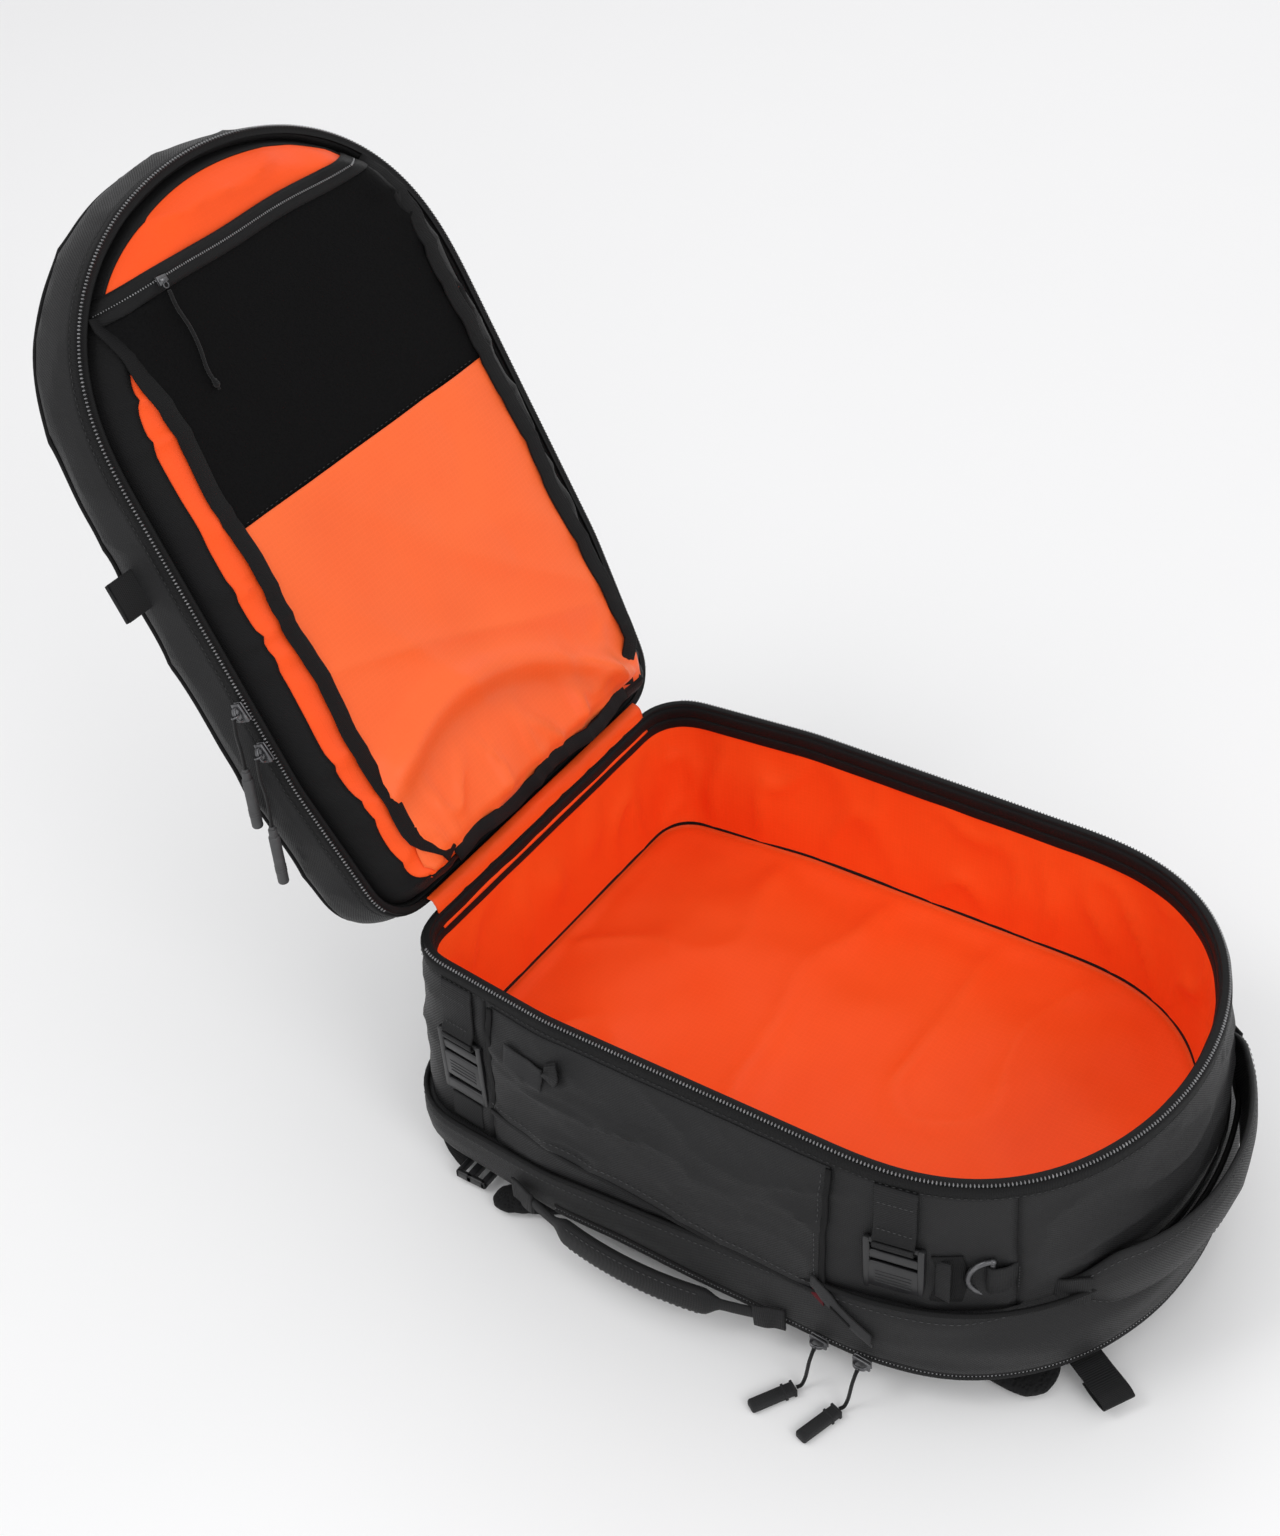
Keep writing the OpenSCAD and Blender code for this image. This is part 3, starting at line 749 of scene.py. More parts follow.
class BackpackStudio(bpy.types.PropertyGroup):
    """Camera and light."""
    azimuth: FloatProperty(name="Azimuth", description="Camera angle round the pack", subtype="ANGLE",
                           unit="ROTATION", default=math.radians(37.0916))
    elevation: FloatProperty(name="Elevation", description="Camera angle above the floor", subtype="ANGLE",
                             unit="ROTATION", default=math.radians(38.8832))
    roll: FloatProperty(name="Roll", description="Camera turn about its own line of sight", subtype="ANGLE",
                        unit="ROTATION", default=math.radians(-4.8196))
    distance: FloatProperty(name="Distance", description="From the camera to its aim", subtype="DISTANCE",
                            unit="LENGTH", default=1.861456, min=0.5, max=6)
    aim: FloatVectorProperty(name="Aim", description="The point that the camera looks at",
                             subtype="TRANSLATION",
                             unit="LENGTH", size=3, default=(-0.297244, 0.179499, 0.093407))
    focal_length: FloatProperty(name="Focal length", description="Camera lens on a 36 mm sensor",
                                default=53.82, min=20, max=120)
    floor_shade: FloatProperty(name="Floor shade", description="Lightness of the floor",
                               default=0.885, min=0, max=1)


def look():
    return bpy.context.scene.backpack_look


class BACKPACK_OT_camera(bpy.types.Operator):
    """Place the camera"""
    bl_idname = "backpack.camera"
    bl_label = "Camera"

    def execute(self, context):
        studio = context.scene.backpack_studio
        a, e, r = studio.azimuth, studio.elevation, studio.roll
        back = Vector((math.sin(a) * math.cos(e), -math.cos(a) * math.cos(e), math.sin(e)))
        right = (-back).cross(Vector((0, 0, 1))).normalized()
        up = right.cross(-back)
        right, up = (right * math.cos(r) + up * math.sin(r)), (up * math.cos(r) - right * math.sin(r))
        data = bpy.data.cameras.new("studio_camera")
        data.lens, data.sensor_width, data.clip_end = studio.focal_length, 36, 30
        camera = bpy.data.objects.new("studio_camera", data)
        turn = Matrix((right, up, back)).transposed().to_4x4()
        camera.matrix_world = Matrix.Translation(Vector(studio.aim) + back * studio.distance) @ turn
        context.scene.collection.objects.link(camera)
        context.scene.camera = camera
        return {"FINISHED"}


def cord_curve(name, route, diameter):
    """A round cord on one smooth spline."""
    line = smooth_path(route, 24)
    data = bpy.data.curves.new(name, "CURVE")
    data.dimensions, data.bevel_depth, data.bevel_resolution = "3D", diameter / 2, look().cord_sides
    data.use_fill_caps = True
    spline = data.splines.new("POLY")
    spline.points.add(len(line) - 1)
    for point, spot in zip(spline.points, line):
        point.co = (*spot, 1)
    made = bpy.data.objects.new(name, data)
    bpy.context.scene.collection.objects.link(made)
    data.materials.append(FINISHES["pull_cord"])
    length = sum((b - a).length for a, b in zip(line, line[1:]))
    return made, length


def pull_tab(name, node, low, high, matrix, slot):
    """A slim zip tab: a soft body with a collar where the cord enters."""
    low, high = Vector(low), Vector(high)
    centre, size = (low + high) / 2, high - low
    long = max(range(3), key=lambda n: size[n])
    bm = bmesh.new()
    inner = Vector([1.8 * MM] * 3)
    inner[long] = 0
    block(bm, low, high, bevel=min(size) * 0.28, segments=3)
    end = high[long]
    grow = Vector([0.35 * MM] * 3)
    grow[long] = 0
    for place in (0.0, 0.2):
        a, b = low - grow, high + grow
        a[long] = end - size[long] * (place + 0.06)
        b[long] = end - size[long] * place
        block(bm, a, b, bevel=0.5 * MM)
    for side in (-1, 1):
        flat = min(range(3), key=lambda n: size[n] if n != long else 9)
        a, b = low + inner, high - inner
        a[long], b[long] = low[long] + size[long] * 0.12, end - size[long] * 0.34
        mid = centre[flat] + side * (size[flat] / 2)
        a[flat], b[flat] = mid - 0.3 * MM, mid + 0.3 * MM
        block(bm, a, b, bevel=0.25 * MM)
    block_map(bm)
    return piece(name, bm, home(node), slot, node, matrix=matrix, angle=50)


def hung_tab(name, node, spot, long, slot="pull_rubber"):
    """A round tab that hangs from a cord or slider."""
    bm = bmesh.new()
    top, low = Vector(spot) - Vector((0, 0, 0.4 * MM)), Vector(spot) - Vector((0, 0, long))
    rod(bm, low, top - Vector((0, 0, long * 0.16)), 3.9 * MM, 24, 1.2 * MM)
    rod(bm, top - Vector((0, 0, long * 0.2)), top - Vector((0, 0, long * 0.04)), 3.1 * MM, 24, 0.8 * MM)
    rod(bm, top - Vector((0, 0, long * 0.08)), top, 2.2 * MM, 20, 0.5 * MM)
    for step in range(3):
        at = low + Vector((0, 0, long * (0.2 + 0.045 * step)))
        rod(bm, at, at + Vector((0, 0, 1.1 * MM)), 4.15 * MM, 24, 0.4 * MM)
    block_map(bm)
    return piece(name, bm, home(node), slot, node, angle=50)


LAPTOP_X = {"a": 90 * MM, "b": 122 * MM}
LAPTOP_ROUTE = [(0, 0, 0), (0, -3, -3), (-1, -5, -10), (-2, -6, -18), (-3, -7, -25),
                (-4, -10, -29.6), (-6, -13, -30.2)]
MAIN_X = {"a": -63 * MM, "b": -94 * MM}
MAIN_ROUTES = {"a": [(0, 0, 0), (0, -1, -14), (0, 0, -28), (0, 0, -42)],
               "b": [(0, 0, 0), (0, -1, -16), (1, 0, -34), (0, 0, -58)]}
MESH_ROUTE = [(0, 0, 0), (-12, 0, 1.4), (-26, 2, 2), (-40, 1, 2), (-54, -2, 2), (-66, -1, 2)]
MESH_EXIT = Vector((189.4, -88, -26.6)) * MM
CORD_D = 2.6 * MM


class BACKPACK_OT_cords(bpy.types.Operator):
    """Zip pull cords with their tabs and knot"""
    bl_idname = "backpack.cords"
    bl_label = "Pull cords"

    def execute(self, context):
        for key, turn in (("a", 32), ("b", 18)):
            start = Vector((LAPTOP_X[key], -HALF_W - LAYER_OUT - 9.4 * MM, 34 * MM))
            route = [start + Vector(p) * MM for p in LAPTOP_ROUTE]
            cord, length = cord_curve("laptop_pull_cord_" + key, route, CORD_D)
            tab = pull_tab("laptop_pull_tab_" + key, "laptop_tab_" + key, Vector((-4.5, -34, -3.0)) * MM,
                           Vector((4.5, -1.6, 3.2)) * MM,
                           Matrix.Translation(route[-1]) @ Matrix.Rotation(math.radians(-turn), 4, "Z"),
                           "grey_fabric")
            self.finish_cord(cord, "laptop_cord_" + key, start, length, "fitting", [tab])
        for key in "ab":
            start = LID @ Vector((MAIN_X[key], -HALF_W - 11.4 * MM, 2 * MM))
            route = [start + Vector(p) * MM for p in MAIN_ROUTES[key]]
            cord, length = cord_curve("main_pull_cord_" + key, route, CORD_D)
            tab = hung_tab("main_pull_tab_" + key, "main_tab_" + key, route[-1], 50 * MM)
            self.finish_cord(cord, "main_cord_" + key, start, length, "fitting", [tab], "hanging")
        route = [LID @ (MESH_EXIT + Vector(p) * MM) for p in MESH_ROUTE]
        cord, length = cord_curve("pocket_pull_cord", route, CORD_D)
        bm = bmesh.new()
        along = (route[-1] - route[-2]).normalized()
        for step, size in ((0.6, 2.3), (-1.6, 2.0)):
            bmesh.ops.create_uvsphere(bm, u_segments=16, v_segments=10, radius=size * MM,
                                      matrix=Matrix.Translation(route[-1] + along * step * MM
                                                                - along * 2 * MM))
        rod(bm, route[-1] - along * 1 * MM, route[-1] + along * 2.4 * MM, 0.9 * MM, 10, 0.2 * MM)
        block_map(bm)
        knot = piece("pocket_pull_knot", bm, home("mesh_cord"), "pull_cord", angle=60)
        self.finish_cord(cord, "mesh_cord", route[0], length, "knot", [knot])
        hung_tab("end_pull_tab", "end_pull", Vector((HINGE_END - 11.8 * MM, -116 * MM, 166 * MM)), 46 * MM)
        return {"FINISHED"}

    def finish_cord(self, cord, node, start, length, end, pieces, lay="loose"):
        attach(cord, home(node))
        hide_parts(node)
        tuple(start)


class BACKPACK_OT_walls(bpy.types.Operator):
    """Outer walls of the main compartment, in four panels"""
    bl_idname = "backpack.walls"
    bl_label = "Main compartment walls"

    def execute(self, context):
        low, high = near_index(SEAM_LOW), near_index(SEAM_HIGH)
        spans = {"near_side": (low, high), "top_end": (high, ROUND - high),
                 "far_side": (ROUND - high, ROUND - low), "bottom_end": (ROUND - low, ROUND + low)}
        nodes = {"near_side": "near_side_panel", "top_end": "top_panel", "far_side": "far_side_panel",
                 "bottom_end": "bottom_panel"}
        for name, (first, last) in spans.items():
            rows = [self.row(share, first, last) for share in [n / 22 for n in range(23)]]
            bm = ring_rows(rows, first, last)
            mark(bm, "shade", self.seam_shade)
            made = piece(name + "_shell", bm, "pack", "ballistic_nylon", nodes[name], angle=180)
            thicken(made, 2.4 * MM)
        return {"FINISHED"}

    def row(self, share, first, last):
        def at(k):
            x, y = RIM[k % ROUND][0]
            z = layer_top(x) - 4 * MM + (WALL_TOP + 1.5 * MM - layer_top(x) + 4 * MM) * share
            edge = min(abs(k - first), abs(k - last))
            tuck = 1.6 * MM if edge == 0 else 0.0
            return wall_out(x, y, z) - tuck, z
        return at

    def seam_shade(self, co):
        return 0.85 * ease(5 * MM, 0, abs(co.z - layer_top(co.x))) + 0.5 * ease(4 * MM, 0, WALL_TOP - co.z)


class BACKPACK_OT_laptop_layer(bpy.types.Operator):
    """Laptop compartment, its zip, piping and the back panel under it"""
    bl_idname = "backpack.laptop_layer"
    bl_label = "Laptop compartment"

    def execute(self, context):
        rows = [lambda k: (2 * MM, layer_top(RIM[k % ROUND][0].x) - 5 * MM),
                lambda k: (8 * MM, layer_top(RIM[k % ROUND][0].x) - 2 * MM)]
        rows += [self.row(share) for share in [1 - (n / 22) ** 1.25 for n in range(23)]]
        bm = ring_rows(rows, uv_height=0.09)
        bmesh.ops.reverse_faces(bm, faces=bm.faces)
        mark(bm, "wear", lambda co: 0.5 * ease(26 * MM, 18 * MM, co.z))
        made = piece("laptop_compartment_shell", bm, "pack", "ballistic_nylon",
                     ("laptop_gusset", "laptop_divider"), angle=180)
        thicken(made, 2.0 * MM)
        self.piping()
        self.back_panel()
        self.zip()
        return {"FINISHED"}

    def row(self, share):
        def at(k):
            x, y = RIM[k % ROUND][0]
            z = PAD_T + (layer_top(x) - PAD_T) * share
            return layer_out(x, y, z), z
        return at

    def piping(self):
        def spot(k):
            x, y = RIM[k % ROUND][0]
            return 14.2 * MM + wave((x, y, 0), 60 * MM, 0.8 * MM), layer_top(x) + 0.5 * MM
        turns = [math.radians(40 * n) for n in range(9)]
        rows = [lambda k, t=t: (spot(k)[0] + 2.0 * MM * math.cos(t), spot(k)[1] + 2.0 * MM * math.sin(t))
                for t in turns + turns[:1]]
        bm = ring_rows(rows, uv_height=12 * MM)
        face_out(bm)
        piece("layer_piping", bm, "pack", "binding_tape", angle=180)
        path = []
        for k in range(ROUND + 1):
            place = RIM[k % ROUND][0]
            z = layer_top(place.x) - SEAM_DROP
            path.append(rim_point(k, layer_out(*place, z) + 0.15 * MM, z))
        seam("layer_seam_stitches", "pack", [stitch_spots(path, outward)])

    def back_panel(self):
        shares = [n / 14 for n in range(15)]

        def place(i, j):
            point = spine_point(i, shares[j], -11 * MM, PAD_T)
            quilt = abs(math.sin(point.x / (38 * MM))) ** 0.4
            quilt *= math.sin(math.pi * min(1, shares[j] * 1.4)) ** 0.5
            return point + Vector((0, 0, 1.2 * MM - 1.0 * MM * quilt))

        bm = lattice(ROUND, 14, place, (RIM_ROUND, HALF_W), wrap=True, turned=True)
        face_out(bm)
        block_map(bm)
        if sum(f.normal.z * f.calc_area() for f in bm.faces) > 0:
            bmesh.ops.reverse_faces(bm, faces=bm.faces)
        made = piece("back_panel_cloth", bm, "pack", "ballistic_nylon", ("back_panel", "frame_sheet"),
                     angle=180)
        thicken(made, 2.0 * MM)

    def zip(self):
        start = near_index(-120 * MM)
        last = ROUND - start
        z = 34 * MM
        for name, lo, hi in (("laptop_zip_tape_low", -4.2, -0.3), ("laptop_zip_tape_high", 0.3, 4.2)):
            shape = [(-1.2, lo), (0.7, lo + 0.1), (0.95, lo + 0.8), (0.95, hi - 0.8),
                     (0.7, hi - 0.1), (-1.2, hi), (-1.2, lo)]
            rows = [lambda k, a=a, b=b: (layer_out(*RIM[k % ROUND][0], z) + a * MM, z + b * MM) for a,
                    b in shape]
            bm = ring_rows(rows, start, last, 9 * MM)
            bmesh.ops.remove_doubles(bm, verts=bm.verts, dist=0.02 * MM)
            close_ends(bm)
            face_out(bm)
            piece(name, bm, "pack", "zip_tape", "laptop_zip" if lo < -1 else (), angle=60)
        path = [rim_point(k, layer_out(*RIM[k % ROUND][0], z) + 0.5 * MM, z) for k in range(start, last + 1)]
        spots = stitch_spots(path, lambda k: Vector((*RIM[(k + start) % ROUND][1], 0)), 1.0 * MM, 1.5 * MM)
        piece("laptop_zip_coil", tiny_set(mitred_frames(spots), (1.5 * MM, 1.4 * MM, 1.3 * MM)),
              "pack", "zip_coil", angle=180)


def binding_rows(outer, inner, low, high, puff=0.0):
    """The rounded section of a folded fabric binding, as ring rows."""
    mid, half = (low + high) / 2, (high - low) / 2
    rows = []
    for n in range(17):
        turn = 2 * math.pi * n / 16
        c, s = math.cos(turn), math.sin(turn)
        a = (outer + inner) / 2 + (outer - inner) / 2 * (abs(c) ** 0.6) * (1 if c > 0 else -1)
        b = mid + half * (abs(s) ** 0.6) * (1 if s > 0 else -1)
        rows.append(lambda k, a=a, b=b, c=c: (a + puff * wave((*RIM[k % ROUND][0], b), 22 * MM, 1.0, 4.0), b))
    return rows


def zip_half(name, body, node, low, high, tooth_z, matrix=None):
    """One side of the main zip: tape all round and a row of teeth."""
    shape = [(-1.0, low), (-1.0, high - 0.4 * MM), (-1.6, high), (-5.6, high), (-6.0, high - 0.4 * MM),
             (-6.0, low), (-1.0, low)]
    rows = [lambda k, a=a, b=b: (a * MM, b) for a, b in shape]
    bm = ring_rows(rows, uv_height=14 * MM)
    face_out(bm)
    piece(name + "_tape", bm, body, "zip_tape", node, matrix=matrix, angle=60)
    skip = near_index(-236 * MM)
    path = [rim_point(k, -0.9 * MM, tooth_z) for k in range(skip, ROUND - skip + 1)]
    spots = stitch_spots(path, lambda k: Vector((*RIM[(k + skip) % ROUND][1], 0)), look().tooth_pitch, 0.0)
    bm = tiny_set(mitred_frames(spots), (1.4 * MM, 2.7 * MM, 2.9 * MM))
    piece(name + "_teeth", bm, body, "zip_coil", matrix=matrix, angle=180)


class BACKPACK_OT_rim(bpy.types.Operator):
    """Binding and zip half round the pack's opening"""
    bl_idname = "backpack.rim"
    bl_label = "Rim"

    def execute(self, context):
        top = RIM_Z - 2.5 * MM
        rows = binding_rows(1.4 * MM, -8 * MM, WALL_TOP - 1 * MM, top + 0.2 * MM, 0.5 * MM)
        bm = ring_rows(rows, uv_height=34 * MM)
        face_out(bm)
        piece("rim_binding_tape", bm, "pack", "binding_tape", "rim_binding", angle=180)
        zip_half("pack_zip", "pack", "body_zip", top, RIM_Z - 0.3 * MM, RIM_Z - 1.3 * MM)
        path = [rim_point(k, 1.5 * MM, WALL_TOP + 1.2 * MM) for k in range(ROUND + 1)]
        seam("rim_stitches", "pack", [stitch_spots(path, outward, 3 * MM, 1.4 * MM)],
             (3.0, 0.55, 0.4), "binding_thread")
        return {"FINISHED"}


class BACKPACK_OT_lining(bpy.types.Operator):
    """Orange lining of the main compartment"""
    bl_idname = "backpack.lining"
    bl_label = "Main lining"

    def execute(self, context):
        floor = LAYER_Z + 4 * MM
        steps = [(0, n / 20) for n in range(21)] + [(n / 30, None) for n in range(1, 31)]

        def place(i, j):
            share, down = steps[j]
            x, y = RIM[i % ROUND][0]
            if down is not None:
                z = WALL_TOP - 1 * MM - (WALL_TOP - floor - 4 * MM) * down
                slack = math.sin(math.pi * down)
                fold = creases((x, y, z * 0.6), 40 * MM, 4.6, 6.0) * slack
                fold += wave((x, y, z), 70 * MM, 6.0, 1.0) * slack
                return rim_point(i, (-4.6 - max(0.0, fold + 1.5) - 3.5 * down ** 3) * MM, z)
            point = spine_point(i, share, -8.1 * MM, floor)
            sag = creases((point.x, point.y * 0.7, 0), 85 * MM, 5.5, 9.0) + wave(point, 46 * MM, 3.4, 2.0)
            lift = 5 * MM * (1 - ease(0, 0.16, share))
            return point + Vector((0, 0, lift * 0.7 + max(-2.2, sag) * MM * ease(0.03, 0.2, share)))

        bm = lattice(ROUND, len(steps) - 1, place, (RIM_ROUND, 0.3), wrap=True, turned=True)
        block_map(bm)
        made = piece("main_lining_cloth", bm, "pack", "orange_lining", "body_lining", angle=180)
        thicken(made, 0.8 * MM)
        turns = [math.radians(60 * n) for n in range(7)]
        rows = [lambda k, t=t: ((-9.6 + 1.5 * math.cos(t)) * MM, floor + (6.2 + 1.5 * math.sin(t)) * MM)
                for t in turns]
        bm = ring_rows(rows, uv_height=9 * MM)
        face_out(bm)
        piece("lining_floor_piping", bm, "pack", "binding_tape", angle=180)
        rows = binding_rows(-3.4 * MM, -8.6 * MM, WALL_TOP - 9 * MM, WALL_TOP + 0.4 * MM, 0.4 * MM)
        bm = ring_rows(rows, uv_height=28 * MM)
        face_out(bm)
        piece("inner_rim_facing", bm, "pack", "binding_tape", angle=180)
        return {"FINISHED"}


# ---- side pocket, tag and zip garage ----


def patch(name, body, slot, nodes, across, up, spot, size, thick=1.4, shade=None, matrix=None,
          angle=180, wear=None):
    """A sewn-on cloth panel: spot(i, j) gives its outer face, and Solidify its thickness."""
    bm = lattice(across, up, spot, size)
    bm.normal_update()
    if shade:
        mark(bm, "shade", shade)
    if wear:
        mark(bm, "wear", wear)
    made = piece(name, bm, body, slot, nodes, matrix=matrix, angle=angle)
    thicken(made, thick * MM)
    return made


class BACKPACK_OT_side_pocket(bpy.types.Operator):
    """Side pocket flap, its folded edge, plain tag and loop end"""
    bl_idname = "backpack.side_pocket"
    bl_label = "Side pocket"

    def execute(self, context):
        left, right = -174 * MM, 90 * MM

        def low(x):
            return (96 - 17 * ease(-170 * MM, 90 * MM, x)) * MM

        def lift(s, t):
            edge = min(1.0, s * 14, (1 - s) * 14)
            bottom = ease(0.0, 0.10, t)
            return (1.0 + 2.6 * edge ** 0.5 * (1 - t) ** 0.7 + 1.6 * (1 - bottom)) * MM

        def spot(i, j):
            s, t = i / 84, j / 30
            x = left + (right - left) * s
            z = low(x) + (WALL_TOP - 2.5 * MM - low(x)) * t
            bow = creases((x, 0, z * 2.4), 80 * MM, 1.2, 12.0) * MM * math.sin(math.pi * t)
            fold = 2.2 * MM * math.exp(-((t - 0.62 + 0.2 * s) / 0.05) ** 2) * (1 - s) ** 0.5
            return wall_spot(x, z, lift(s, t) + max(-0.6 * MM, bow) + fold)[0]

        patch("side_pocket_flap", "pack", "ballistic_nylon", "side_pocket", 84, 30, spot, (0.264, 0.1),
              shade=lambda co: 0.3 * ease(4 * MM, 0, co.z - low(co.x)),
              wear=lambda co: 0.35 * ease(3 * MM, 1 * MM, co.z - low(co.x)))
        for name, path in (("pocket_hem_low", [(left + (right - left) * n / 40, 0.0) for n in range(41)]),
                           ("pocket_hem_right", [(right, n / 16) for n in range(17)]),
                           ("pocket_hem_left", [(left, n / 16) for n in range(17)])):
            pts = []
            for x, t in path:
                z = low(x) + (WALL_TOP - 3 * MM - low(x)) * t
                pts.append(wall_spot(x, z, (4.4 if "low" in name else 2.0) * MM)[0])
            bm = ribbon(pts, (0, -1, 0), 4.2 * MM, 1.8 * MM)
            piece(name, bm, "pack", "binding_tape", angle=180)
        rows = [stitch_spots([wall_spot(left + (right - left) * n / 60,
                                        low(left + (right - left) * n / 60) + 7 * MM, 4.6 * MM)[0]
                              for n in range(61)], (0, -1, 0))]
        rows += [stitch_spots([wall_spot(right - 5 * MM,
                                         low(right) + (WALL_TOP - 8 * MM - low(right)) * n / 20,
                                         lift(0.98, n / 20) + 0.6 * MM)[0] for n in range(21)], (0, -1, 0))]
        seam("side_pocket_stitches", "pack", rows)
        self.tag()
        self.garage()
        return {"FINISHED"}

    def tag(self):
        def spot(i, j):
            x, z = (-158 + 34 * i / 12) * MM, (150 + 17 * j / 6 - 4 * i / 12) * MM
            return wall_spot(x, z, (4.6 + 0.5 * math.sin(i * 0.7)) * MM)[0]
        patch("plain_tag", "pack", "grey_fabric", "woven_tag", 12, 6, spot, (0.034, 0.017), 1.0)
        path = [wall_spot((-118 + 3 * math.sin(t)) * MM, (172 - 16 * n / 8) * MM,
                          (3.4 + 4.6 * math.sin(math.pi * n / 8)) * MM)[0]
                for n, t in [(n, n * 0.5) for n in range(9)]]
        piece("sewn_loop_end", ribbon(path, (0, -1, 0), 12 * MM, 1.4 * MM), "pack", "webbing", angle=180)

    def garage(self):
        """The slanted fold that covers the laptop zip's end, with its wine-red facing."""
        def spot(i, j):
            s, t = i / 20, j / 6
            x = (84 + 44 * s) * MM
            z = (90 - 33 * s + 11 * (t - 0.5)) * MM
            lift = (3.0 + 1.9 * math.sin(math.pi * t) * (0.5 + 0.5 * s)) * MM
            y = -half_width(x) - layer_out(x, 0, min(z, layer_top(x) - 3 * MM)) - lift
            return Vector((x, y, z))
        patch("zip_garage_fold", "pack", "grey_fabric", "zip_garage", 20, 6, spot, (0.06, 0.013), 2.2,
              wear=lambda co: 0.4)

        def under(i, j):
            s, t = i / 16, j / 5
            x = (84 + 9 * s) * MM
            z = (81 - 7 * s + 7 * (t - 0.5)) * MM
            y = -half_width(x) - layer_out(x, 0, min(z, layer_top(x) - 3 * MM)) - 1.2 * MM
            return Vector((x, y, z))
        patch("zip_garage_facing", "pack", "wine", (), 16, 5, under, (0.05, 0.013), 0.8)

        # Painted shade: a thin dark strip laid on the fold stands for the shade in the garage's mouth.
        def slot(i, j):
            s, t = i / 10, j / 2
            x = (100 + 14 * s) * MM
            z = (78 - 10.5 * s + 2.2 * (t - 0.5)) * MM
            y = -half_width(x) - layer_out(x, 0, min(z, layer_top(x) - 3 * MM)) - 5.3 * MM
            return Vector((x, y, z))
        patch("zip_garage_slot_shade", "pack", "binding_tape", (), 10, 2, slot, (0.02, 0.003), 0.6)


# ---- straps, buckles and ring ----


def on_wall(x, z, off=0.0, far=False):
    """The place on the CAD wall at x and z, with -Y facing out of it."""
    step = 8 * MM
    turn = math.atan((half_width(x - step) - half_width(x + step)) / (2 * step))
    place = Matrix.Translation((x, -half_width(x), z)) @ Matrix.Rotation(turn, 4, "Z")
    place = place @ Matrix.Translation((0, -off, 0))
    return Matrix.Scale(-1, 4, (0, 1, 0)) @ place if far else place


def buckle_mesh(x, side):
    """Hook buckle: two arms, a bar at the top, a plate and a bar at the bottom, round-edged."""
    top, tall, half, off = 140 * MM, 56 * MM, 20 * MM, 5 * MM
    bm = bmesh.new()
    for edge in (-1, 1):
        a, b = sorted((edge * half, edge * (half - 4.6 * MM)))
        block(bm, (a, -off - 2.2 * MM, top - tall), (b, 2.2 * MM - off, top + 2 * MM),
              bevel=1.2 * MM, segments=3)
    rod(bm, (-half + 2 * MM, -off, top), (half - 2 * MM, -off, top), 2 * MM, 20)
    block(bm, (-half + 3 * MM, -off - 1.5 * MM, top - 16 * MM),
          (half - 3 * MM, 1.2 * MM - off, top - 8.5 * MM), bevel=1.1 * MM, segments=3)
    block(bm, (-half + 3 * MM, -off - 1.9 * MM, top - tall + 14 * MM),
          (half - 3 * MM, 0.8 * MM - off, top - 19 * MM), bevel=1.3 * MM, segments=3)
    block(bm, (-half + 3 * MM, -off - 2.2 * MM, top - tall),
          (half - 3 * MM, 1.4 * MM - off, top - tall + 10 * MM), bevel=1.3 * MM, segments=3)
    for n in range(4):
        z = top - tall + 19 * MM + n * 3.2 * MM
        block(bm, (-half + 8 * MM, -off - 2.3 * MM, z), (half - 8 * MM, -off - 1.6 * MM, z + 1.2 * MM),
              bevel=0.3 * MM)
    block_map(bm)
    bmesh.ops.transform(bm, matrix=on_wall(x, 0, 0, side > 0), verts=bm.verts)
    if side > 0:
        bmesh.ops.reverse_faces(bm, faces=bm.faces)
    return bm


